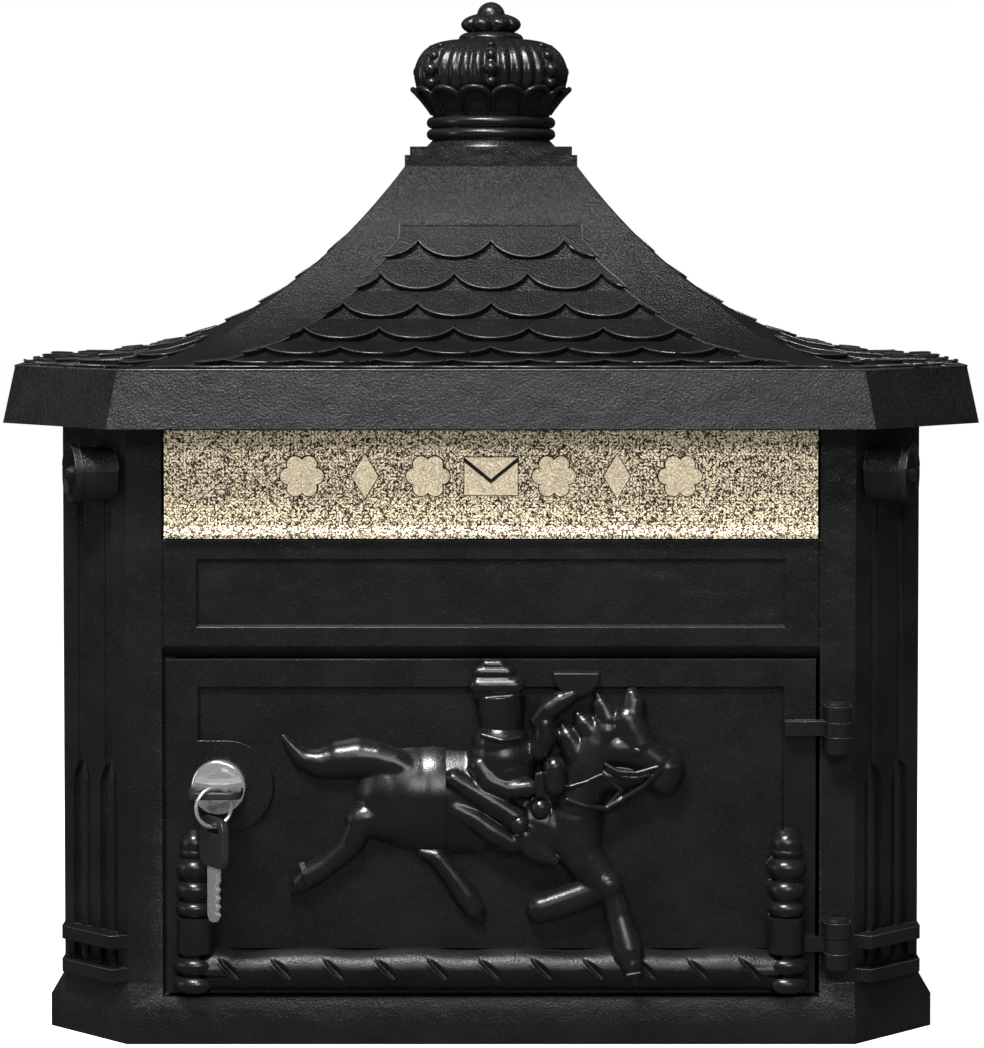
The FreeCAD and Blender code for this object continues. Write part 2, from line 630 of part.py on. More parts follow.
def rise_share(u):
    """Height of the slope as a share of its rise, u from 0 at the fascia to 1 at the plinth."""
    straight = size("roof_linear")
    return straight * u + (1 - straight) * max(u, 0.0) ** size("roof_power")


def slope_height(u):
    """Height of the roof's surface above the base's underside."""
    return size("eave_low") + size("fascia_height") + size("roof_rise") * rise_share(u)


class RoofPlan:
    """The roof's plan at a share of the run: half width, front and corner leg."""

    def __init__(self, u):
        lean = size("fascia_lean")
        eave_half, eave_front = size("eave_half") - lean, size("eave_front") - lean
        eave_leg = size("eave_corner") - lean * (2 - math.sqrt(2)) / 2
        self.half = eave_half + (size("plinth_half") - eave_half) * u
        self.front = eave_front + (size("plinth_depth") - eave_front) * u
        self.line = eave_leg * (1 - u / size("hip_merge"))
        self.leg = self.softened(self.line)

    def softened(self, leg):
        """A leg that runs out softly instead of turning negative."""
        soft = size("hip_soft")
        return size("hip_edge") + soft * math.log1p(math.exp(leg / soft))

    def margin(self, u):
        """Plan distance from a shingle field to its hips."""
        return size("field_margin") + (size("field_margin_top") - size("field_margin")) * u

    def ring(self, height, inset=0.0, back=0.0):
        """The plan's outline at a height, drawn in by an inset."""
        w, f, c = self.half - inset, self.front - inset, self.softened(self.line - inset * (2 - math.sqrt(2)))
        corners = [(-w, -back), (-w, -f + c), (-w + c, -f), (w - c, -f), (w, -f + c), (w, -back)]
        points = [Vector(x, y, level(height)) for x, y in corners]
        return Part.makePolygon(points + points[:1])


def slope_body(inset, back=0.0):
    """The solid under the slopes, drawn in by an inset, down to the fascia's top."""
    steps = 16
    rings = [RoofPlan(i / steps).ring(slope_height(i / steps) - inset, inset, back) for i in range(steps + 1)]
    return Part.makeLoft(rings, True, False)


def plan_prism(w, f, c, low, high, back=0.0):
    """A prism on the roof's kind of plan."""
    corners = [(-w, -back), (-w, -f + c), (-w + c, -f), (w - c, -f), (w, -f + c), (w, -back)]
    points = [Vector(x, y, level(low)) for x, y in corners]
    return Part.Face(Part.makePolygon(points + points[:1])).extrude(Vector(0, 0, high - low))


def fascia():
    """The leaning fascia as a solid block."""
    low, top = size("eave_low"), size("eave_low") + size("fascia_height")
    w, f, c = size("eave_half"), size("eave_front"), size("eave_corner")
    corners = [(-w, 0), (-w, -f + c), (-w + c, -f), (w - c, -f), (w, -f + c), (w, 0)]
    points = [Vector(x, y, level(low)) for x, y in corners]
    return Part.makeLoft([Part.makePolygon(points + points[:1]), RoofPlan(0).ring(top)], True, True)


def roof_hollow():
    """The inside of the roof: the drip recess, the soffit's hole and the space under the slopes."""
    wall = size("wall_thick") + size("fascia_lean")
    w, f, c = size("eave_half") - wall, size("eave_front") - wall, size("eave_corner") - wall * 0.6
    soffit = size("body_top")
    above = soffit + size("soffit_thick")
    fascia_top = size("eave_low") + size("fascia_height")
    inset, back = size("roof_wall"), size("wall_thick")
    recess = plan_prism(w, f, c, size("eave_low") - 1, soffit, back=-1)
    attic = RoofPlan(0)
    low = plan_prism(attic.half - inset, attic.front - inset, attic.leg - inset * 0.6, above,
                     fascia_top - inset, back)
    slopes = slope_body(inset, back)
    hole = Part.makeBox(2 * size("soffit_half"), size("soffit_front") - size("soffit_back"),
                        size("soffit_thick") + 2,
                        Vector(-size("soffit_half"), -size("soffit_front"), level(soffit - 1)))
    return [recess, low.fuse(slopes), hole]


class Slope:
    """One shingled slope: its run in plan, its direction and the sideways limits of its field."""

    def __init__(self, name, outward, near, far, limits):
        self.name, self.outward, self.near, self.far, self.limits = name, outward, near, far, limits
        self.sideways = UP.cross(outward)

    def shift(self, u):
        """Sideways place of the field's middle at a share of the run."""
        return 0.0

    def point(self, u, across=0.0):
        """A point of the slope's surface."""
        run = self.far + (self.near - self.far) * u
        base = self.outward * run + self.sideways * across
        return Vector(base.x, base.y, level(slope_height(u)))

    def courses(self):
        """Shares u where courses end, equally spaced down the slope from the top of the field."""
        steps = 240
        start = 1 - size("course_start")
        shares = [start * (1 - i / steps) for i in range(steps + 1)]
        walked, marks, wanted = 0.0, [start], size("course_pitch")
        for before, after in zip(shares, shares[1:]):
            walked += (self.point(after) - self.point(before)).Length
            if walked >= wanted * len(marks):
                marks.append(after)
        if marks[-1] > 0.02:
            marks.append(0.0)
        return marks

    def field(self):
        """The field's outline in plan, as an upright prism."""
        start, floor = 1 - size("course_start"), level(size("body_top") + 5)
        if self.limits(start)[1] - self.limits(start)[0] < 1.0:
            start = next(u for u in (start * (1 - i / 60) for i in range(60))
                         if self.limits(u)[1] - self.limits(u)[0] >= 1.0)
        left, right = [], []
        for u, reach in ((start, start), (start * 0.95, start * 0.95), (0.0, -0.02)):
            low, high = self.limits(u)
            left.append(self.point(reach, self.shift(u) + low))
            right.append(self.point(reach, self.shift(u) + high))
        points = [Vector(point.x, point.y, floor) for point in left + right[::-1]]
        reach = size("roof_rise") + size("fascia_height")
        return Part.Face(Part.makePolygon(points + points[:1])).extrude(Vector(0, 0, reach))

    def course(self, upper, lower, index):
        """One course: a slab with a scalloped lower edge, sunk at its top and lifted at its lower edge."""
        width, drop = size("scale_width"), size("scale_drop")
        top, foot = self.point(upper), self.point(lower)
        normal = self.sideways.cross(top - foot).normalize()
        normal = normal * math.copysign(1, normal.z)
        foot = foot + normal * size("scale_proud")
        top = top - normal * size("scale_sunk")
        length = (top - foot).Length
        upward = (top - foot).normalize()
        middle = self.shift(lower)
        low, high = self.limits(lower)
        first, last = math.floor(low / width) - 2, math.ceil(high / width) + 2
        start = 0.5 if index % 2 else 0.0

        def spot(scales, up):
            """A point of the course, counted in scales sideways."""
            return foot + self.sideways * (middle + (scales + start) * width) + upward * up

        edges = [Part.Arc(spot(k, drop), spot(k + 0.5, 0), spot(k + 1, drop)).toShape()
                 for k in range(first, last)]
        edges += [Part.makeLine(spot(last, drop), spot(last, length)),
                  Part.makeLine(spot(last, length), spot(first, length)),
                  Part.makeLine(spot(first, length), spot(first, drop))]
        slab = Part.Face(Part.Wire(edges)).extrude(normal * -size("scale_thick"))
        return slab

    def shingles(self):
        """All courses of the slope, trimmed to its field."""
        marks = self.courses()
        slabs = [self.course(upper, lower, i) for i, (upper, lower) in enumerate(zip(marks, marks[1:]))]
        return slabs[0].multiFuse(slabs[1:]).common(self.field())


def roof_slopes():
    """The shingled slopes: front, two sides and two corners."""
    band = size("hip_width")
    top, eave = RoofPlan(1), RoofPlan(0)
    root = math.sqrt(2)

    def front_limits(u):
        half = max(RoofPlan(u).half - RoofPlan(u).margin(u), size("field_top"))
        return -half, half

    def corner_limits(u):
        half = RoofPlan(u).leg / root - band * 0.8
        return -half, half

    def side_limits(turn):
        def limits(u):
            reach = RoofPlan(u).front - RoofPlan(u).margin(u)
            return (0.0, reach) if turn > 0 else (-reach, 0.0)
        return limits

    def corner_run(shape):
        return (shape.half + shape.front - shape.line) / root

    slopes = [Slope("front", Vector(0, -1, 0), top.front, eave.front, front_limits)]
    for side in SIDES:
        slopes.append(Slope(f"side_{side}", Vector(side, 0, 0), top.half, eave.half, side_limits(-side)))
        slopes.append(CornerSlope(f"corner_{side}", Vector(side / root, -1 / root, 0),
                                  corner_run(top), corner_run(eave), corner_limits))
    return slopes


class CornerSlope(Slope):
    """A corner slope: its middle line isn't through the origin, so its points are shifted sideways."""

    def shift(self, u):
        """Sideways place of the facet's middle at a share of the run."""
        shape = RoofPlan(u)
        middle = Vector(math.copysign(shape.half - shape.line / 2, self.outward.x),
                        -(shape.front - shape.line / 2), 0)
        return middle.dot(self.sideways)


def roof_casting():
    """The roof: fascia, curved slopes, shingle fields, plinth, soffit, screw bosses and finial hole."""
    slopes = roof_slopes()
    fields = [slope.field() for slope in slopes]
    skin = slope_body(0.0).cut(fields[0].multiFuse(fields[1:]))
    lowered = slope_body(size("field_depth"))
    block = fascia()
    step, cap = size("plinth_step"), size("plinth_cap")
    low = slope_height(1)
    half, depth, inset = size("plinth_half"), size("plinth_depth"), size("plinth_inset")
    plinth = Part.makeBox(2 * half, depth, step + 1, Vector(-half, -depth, level(low - 1)))
    upper = Part.makeBox(2 * (half - inset), depth - inset, cap,
                         Vector(-(half - inset), -(depth - inset), level(low + step)))
    block = block.multiFuse([lowered, skin, plinth, upper])
    block = block.multiFuse([slope.shingles() for slope in slopes])
    block = block.cut(roof_hollow())
    bosses, pilots = [], []
    middle = size("body_half") - size("wall_thick") - size("lug_size") / 2
    soffit = size("body_top")
    for side in SIDES:
        for out in (size("roof_lug_front"), size("roof_lug_back")):
            spot = Vector(side * middle, -out, level(soffit + 1))
            bosses.append(Part.makeCylinder(5.5, 11.0, spot))
            pilots.append(Part.makeCylinder(size("screw_radius") + size("running_gap"), 11.0,
                                            spot - Vector(0, 0, 2)))
    block = block.multiFuse(bosses).cut(pilots[0].multiFuse(pilots[1:]))
    bore = Part.makeCylinder(size("stud_radius") + size("screw_clearance"), 60,
                             Vector(0, -size("finial_out"), level(low - 30)))
    piece(solid("roof_casting", block.cut(bore)), "roof_casting")


def plinth_top():
    """Height of the plinth's top."""
    return slope_height(1) + size("plinth_step") + size("plinth_cap")


# Finial

def lobed_ring(radius, height, lobes, depth, crest=1):
    """A smooth closed ring with shallow lobes; crest is 1 for a lobe at the front and -1 for a groove there."""
    count = int(lobes) * 4
    points = []
    for i in range(count):
        angle = 2 * math.pi * i / count
        r = radius * (1 - depth * (0.5 - 0.5 * crest * math.cos(lobes * angle)))
        points.append(Vector(r * math.sin(angle), -r * math.cos(angle), height))
    curve = Part.BSplineCurve()
    curve.interpolate(points, PeriodicFlag=True)
    return Part.Wire([curve.toShape()])


def turned_shape(profile):
    """A solid turned about Z from radius and height pairs.

    A third value bulges the edge that ends there by that much; on the axis it asks for a round cap instead.
    """
    edges = []
    for start, end in zip(profile, profile[1:] + profile[:1]):
        a, b = Vector(start[0], 0, start[1]), Vector(end[0], 0, end[1])
        if len(end) > 2 and end[0] == 0:
            centre = (b.z ** 2 - a.z ** 2 - a.x ** 2) / (2 * (b.z - a.z))
            radius, half = b.z - centre, math.atan2(a.x, a.z - centre) / 2
            middle = Vector(radius * math.sin(half), 0, centre + radius * math.cos(half))
            edges.append(Part.Arc(a, middle, b).toShape())
        elif len(end) > 2:
            outward = Vector((b - a).z, 0, -(b - a).x).normalize()
            edges.append(Part.Arc(a, (a + b) * 0.5 + outward * end[2], b).toShape())
        elif (b - a).Length > 1e-6:
            edges.append(Part.makeLine(a, b))
    return Part.Face(Part.Wire(edges)).revolve(Vector(), UP, 360)


def capsule(start, end, start_radius, end_radius):
    """A limb with round ends: two balls and the cone that touches both."""
    along = end - start
    reach = along.Length
    lean = math.asin(max(-0.95, min(0.95, (start_radius - end_radius) / reach)))
    a = Vector(start_radius * math.cos(lean), 0, start_radius * math.sin(lean))
    b = Vector(end_radius * math.cos(lean), 0, reach + end_radius * math.sin(lean))
    half = (lean - math.pi / 2) / 2
    first = Vector(start_radius * math.cos(half), 0, start_radius * math.sin(half))
    rest = (lean + math.pi / 2) / 2
    second = Vector(end_radius * math.cos(rest), 0, reach + end_radius * math.sin(rest))
    edges = [Part.Arc(Vector(0, 0, -start_radius), first, a).toShape(), Part.makeLine(a, b),
             Part.Arc(b, second, Vector(0, 0, reach + end_radius)).toShape(),
             Part.makeLine(Vector(0, 0, reach + end_radius), Vector(0, 0, -start_radius))]
    shape = Part.Face(Part.Wire(edges)).revolve(Vector(), UP, 360)
    shape.Placement = Placement(start, Rotation(UP, along))
    return shape


def finial_shape():
    """Foot rings, petal cup, ribbed bulb with columns of beads, collar and ball."""
    ring = size("finial_collar")
    bulb = size("bulb_radius")
    foot = turned_shape([(0, 0), (ring, 0), (ring - 2.5, 3.1), (ring - 2.5, 3.6), (ring - 2.5, 8.6, 2.4),
                         (ring - 2.5, 13.6, 2.4), (ring - 4.0, 14.0), (ring + 3.0, 22.0), (0, 22.0)])
    rings = [(0.86, 16.0), (0.94, 21.0), (0.985, 27.5), (1.0, 33.0), (0.97, 39.0), (0.89, 43.4), (0.75, 46.2),
             (0.6, 47.4)]
    swelling = Part.makeLoft([lobed_ring(bulb * share, height, size("bead_columns") * size("rib_share"), 0.05)
                              for share, height in rings], True, False)
    neck = turned_shape([(0, 45.5), (ring * 0.6, 45.5), (13.9, 46.9), (13.0, 50.0), (12.0, 51.0), (0, 51.0)])
    collar = Part.makeLoft([lobed_ring(radius, height, size("bead_columns"), 0.12, -1)
                            for radius, height in ((12.6, 50.2), (13.5, 53.6), (12.8, 56.4), (10.6, 58.4))], True, False)
    knob = Part.makeSphere(6.4, Vector(0, 0, 57.6))
    petals = []
    for k in range(int(size("petal_count"))):
        turn = Rotation(UP, 360 * (k + 0.5) / size("petal_count") - 90)
        start = turn.multVec(Vector(ring - 4.2, 0, 16.0))
        end = turn.multVec(Vector(size("finial_out") - size("petal_tip") - 0.2, 0, 20.8))
        petals.append(capsule(start, end, 2.6, size("petal_tip")))
    beads = []
    for k in range(int(size("bead_columns"))):
        turn = Rotation(UP, 360 * k / size("bead_columns") - 90)
        for radius, out, height in ((2.6, bulb - 0.2, 26.3), (3.4, bulb - 0.4, 32.2), (2.6, bulb * 0.98 - 0.2, 38.2)):
            beads.append(Part.makeSphere(radius, turn.multVec(Vector(out, 0, height))))
    whole = swelling.fuse(foot).fuse(neck).fuse(collar).fuse(knob)
    for group in (petals, beads):
        whole = whole.fuse(group[0].multiFuse(group[1:]))
    bore = Part.makeCylinder(size("stud_radius") + 0.1, size("stud_depth") + 0.3)
    return whole.cut(bore)


def finial():
    """The crown finial and what holds it on the roof."""
    out = "-finial_out"
    top = plinth_top()
    axis = Vector(0, -size("finial_out"), level(top))
    piece(solid("finial", finial_shape(), Placement(axis, Rotation())), "finial")
    top_text = "(eave_low + fascia_height + roof_rise + plinth_step + plinth_cap)"
    ceiling = "(eave_low + fascia_height + roof_rise - roof_wall)"
    piece(cylinder("finial_stud", "0", out, f"{top_text} - stud_tail", "stud_radius", "stud_tail + stud_depth"),
          "finial_stud")
    washer = cylinder("finial_washer_blank", "0", out, f"{ceiling} - washer_thick", "washer_radius", "washer_thick")
    hole = cylinder("finial_washer_hole", "0", out, f"{ceiling} - 2 * washer_thick", "stud_radius + screw_clearance",
                    "3 * washer_thick")
    piece(cut("finial_washer", washer, [hole]), "finial_washer")
    hexagon_nut("finial_nut", "0", out, f"{ceiling} - washer_thick - nut_height", "nut_flat", "nut_height",
                "stud_radius + 0.1", UP)


def hexagon_nut(node, x, y, height, flat, thick, bore, axis):
    """A hexagon nut along an axis."""
    blank = bind(named("Part::Prism", f"{node}_blank"), Circumradius=f"{flat} / cos(30 deg)", Height=thick)
    blank.Polygon = 6
    place(blank, x, y, height, Rotation(UP, axis))
    hole = cylinder(f"{node}_bore", x, y, height, bore, f"3 * ({thick})", axis)
    hole.setExpression("Placement.Base.y" if axis == DEEP else "Placement.Base.z",
                       formula(f"{y} - {thick}" if axis == DEEP else f"{height} - {thick} - mount_height"))
    piece(cut(node, blank, [hole]), node)


# Letter flap

def letter_flap():
    """The flap: a plate with a flared lip, a barrel at its top and seven raised motifs."""
    face, back = FACE, f"{FACE} + flap_thick"
    lip = f"{FACE} - flap_lip"
    profile = [(face, "flap_top"), (back, "flap_top"), (back, "flap_low + 2.2"), (f"{FACE} + 1.5", "flap_low"),
               (lip, "flap_low"), (lip, "flap_low + 1.4"), (face, "flap_low + 5.2")]
    plate = place(pad("flap_plate", "YZ_Plane", profile, "2 * flap_half", centred=True))
    barrel = cylinder("flap_barrel_blank", "-flap_half", "-flap_axis_out", "flap_axis_level", "flap_barrel",
                      "2 * flap_half", ACROSS)
    bore = cylinder("flap_barrel_bore", "-flap_half - 1", "-flap_axis_out", "flap_axis_level",
                    "flap_rod + 2 * running_gap", "2 * flap_half + 2", ACROSS)
    web = box("flap_web", "-flap_half", f"{FACE} + flap_thick - 0.5", "flap_axis_level - flap_barrel * 0.7",
              "2 * flap_half", "body_front - flap_axis_out - flap_thick + 0.5", "flap_barrel * 1.4")
    motifs = [solid(f"motif_{k}", motif(k)) for k in range(-3, 4)]
    piece(cut("letter_flap", fuse("flap_whole", [plate, barrel, web] + motifs), [bore]), "letter_flap")


def motif(k):
    """One raised motif: an envelope in the middle, lozenges and rosettes beside it."""
    centre = Vector(k * size("motif_pitch"), -size("body_front") + 0.5, level(size("motif_level")))
    radius, proud = size("motif_radius"), size("motif_proud") + 0.5
    front = Vector(0, -1, 0)
    if k == 0:
        width, high = radius * 1.2, radius * 0.85
        sheet_of_paper = Part.makeBox(2 * width, proud, 2 * high, centre + Vector(-width, -proud, -high))
        fold = [Vector(-width, 0, high), Vector(0, 0, -high * 0.15), Vector(width, 0, high)]
        fold = [centre + front * (proud - 0.6) + point for point in fold]
        lower = [point - Vector(0, 0, 1.4) for point in reversed(fold)]
        groove = Part.Face(Part.makePolygon(fold + lower + fold[:1])).extrude(front)
        return sheet_of_paper.cut(groove)
    if k % 2 == 0:
        corners = [Vector(-radius * 0.6, 0, 0), Vector(0, 0, -radius), Vector(radius * 0.6, 0, 0), Vector(0, 0, radius)]
        corners = [centre + point for point in corners]
        return Part.Face(Part.makePolygon(corners + corners[:1])).extrude(front * proud)
    petals = [Part.makeCylinder(radius * 0.36, proud,
                                centre + Rotation(Vector(0, 1, 0), 60 * i).multVec(Vector(radius * 0.62, 0, 0)), front)
              for i in range(6)]
    heart = Part.makeCylinder(radius * 0.42, proud, centre, front)
    return heart.multiFuse(petals)


def flap_rod():
    """The rod through the jambs and its two clips."""
    end = "(opening_half + jamb_thick + clip_thick + 2)"
    piece(cylinder("flap_pin", f"-{end}", "-flap_axis_out", "flap_axis_level", "flap_rod", f"2 * {end}", ACROSS),
          "flap_pin")
    clips = []
    for side in SIDES:
        start = "opening_half + jamb_thick + 0.1" if side > 0 else "-opening_half - jamb_thick - clip_thick - 0.1"
        ring = cylinder(f"clip_blank_{side}", start, "-flap_axis_out", "flap_axis_level", "clip_radius", "clip_thick",
                        ACROSS)
        hole = cylinder(f"clip_hole_{side}", f"{start} - 1", "-flap_axis_out", "flap_axis_level",
                        "flap_rod + running_gap", "clip_thick + 2", ACROSS)
        clips.append(cut(f"clip_{side}", ring, [hole]))
    group = named("Part::Compound", "flap_pin_clips")
    group.Links = clips
    piece(group, "flap_pin_clips")


# Door

def post_profile():
    """The turned post: foot rings, shaft, three rings and a dome."""
    shaft, ring, foot = size("post_radius"), size("post_ring"), size("post_foot")
    neck = shaft * 0.82
    bulge = lambda radius: radius - neck
    return [(0, 0), (neck, 0), (neck, 7.0, foot - neck), (neck, 7.6), (neck, 14.6, foot - neck), (neck, 15.4),
            (shaft + 0.9, 16.0), (shaft + 0.9, 30.0), (neck, 31.0), (neck, 37.2, bulge(ring)), (neck, 37.8),
            (neck, 45.6, bulge(ring)), (neck, 46.4), (neck, 54.4, bulge(ring)), (neck, 55.2),
            (shaft * 0.9, 58.0, 0.6), (0, 66.2, True)]


def posts():
    """Two half-round posts on the door's face."""
    shapes = []
    face, out = size("body_front"), size("post_out")
    for side in SIDES:
        post = turned_shape(post_profile())
        post.translate(Vector(side * size("post_across"), -face - out, level(size("post_low"))))
        shapes.append(post)
    return shapes


def rope_rail():
    """The rope rail: a round bar with slanting, lens-shaped slits."""
    radius, face, out = size("rope_radius"), size("body_front"), size("rope_out")
    half = size("post_across") - size("post_ring") / 4
    start = Vector(-half, -face - out, level(size("rope_level")))
    bar = Part.makeCylinder(radius, 2 * half, start, ACROSS)
    count, thick, reach = int(size("rope_strands")), size("rope_groove"), size("rope_cutter")
    normal = Rotation(DEEP, -size("rope_turn")).multVec(ACROSS)
    discs = []
    for k in range(count):
        centre = start + ACROSS * (2 * half * (k + 0.5) / count) + UP * size("rope_groove_rise")
        centre -= DEEP * (radius + reach - size("rope_groove_depth"))
        discs.append(Part.makeCylinder(reach, thick, centre - normal * (thick / 2), normal))
    return bar.cut(discs)


def hinge_straps():
    """Straps on the door with their barrels."""
    parts = []
    for name in ("strap_high", "strap_low"):
        low = f"{name} - strap_height / 2"
        parts.append(box(f"{name}_bar", "strap_start", f"{FACE} - strap_thick - side_play", low,
                         "hinge_across - strap_start", "strap_thick", "strap_height"))
        parts.append(box(f"{name}_pad", "strap_start", f"{FACE} - strap_thick / 2", low,
                         "opening_half - door_gap - strap_start", "strap_thick / 2 + 0.5", "strap_height"))
        parts.append(cylinder(f"{name}_barrel", "hinge_across", f"{FACE} - hinge_proud", low, "knuckle_radius",
                              "strap_height"))
    return parts


def door_blank():
    """The door's plate with its sunk panel and the boss round the lock."""
    plate = box("door_plate", "-opening_half + door_gap", FACE, "door_low", "2 * (opening_half - door_gap)",
                "door_thick", "door_top - door_low")
    panel = box("door_panel_cut", "-door_panel_half", f"{FACE} - 1", "door_panel_low", "2 * door_panel_half",
                "door_panel_depth + 1", "door_panel_high - door_panel_low")
    boss = cylinder("door_boss", "-boss_across", FACE, "lock_level", "boss_radius", "door_thick", DEEP)
    land = box("door_boss_land", "-door_panel_half - 1", FACE, "lock_level - boss_radius",
               "door_panel_half - boss_across + 1", "door_thick", "2 * boss_radius")
    return fuse("door_blank", [cut("door_sunk", plate, [panel]), boss, land])


def door():
    """The door casting."""
    face = size("body_front")
    relief = posts() + [rope_rail()]
    behind = size("door_thick") / 2
    reach = 2 * size("body_half")
    keep = Part.makeBox(reach, 40, reach, Vector(-reach / 2, -face - 40 + behind, level(0)))
    shapes = [solid(f"door_relief_{i}", shape.common(keep)) for i, shape in enumerate(relief)]
    holes = [cylinder(f"strap_bore_{name}", "hinge_across", f"{FACE} - hinge_proud", f"{name} - strap_height",
                      "hinge_pin + 2 * running_gap", "2 * strap_height") for name in ("strap_high", "strap_low")]
    holes += [cylinder(f"peg_hole_{i}", f"{across}", f"{FACE} - 1", "peg_level", "peg_radius + running_gap",
                       "door_thick + 2", DEEP) for i, across in enumerate(PEGS)]
    holes.append(cylinder("lock_hole", "-lock_across", f"{FACE} - 1", "lock_level",
                          "lock_barrel + running_gap", "door_thick + 2", DEEP))
    return piece(cut("door", fuse("door_whole", [door_blank()] + shapes + hinge_straps()), holes), "door")


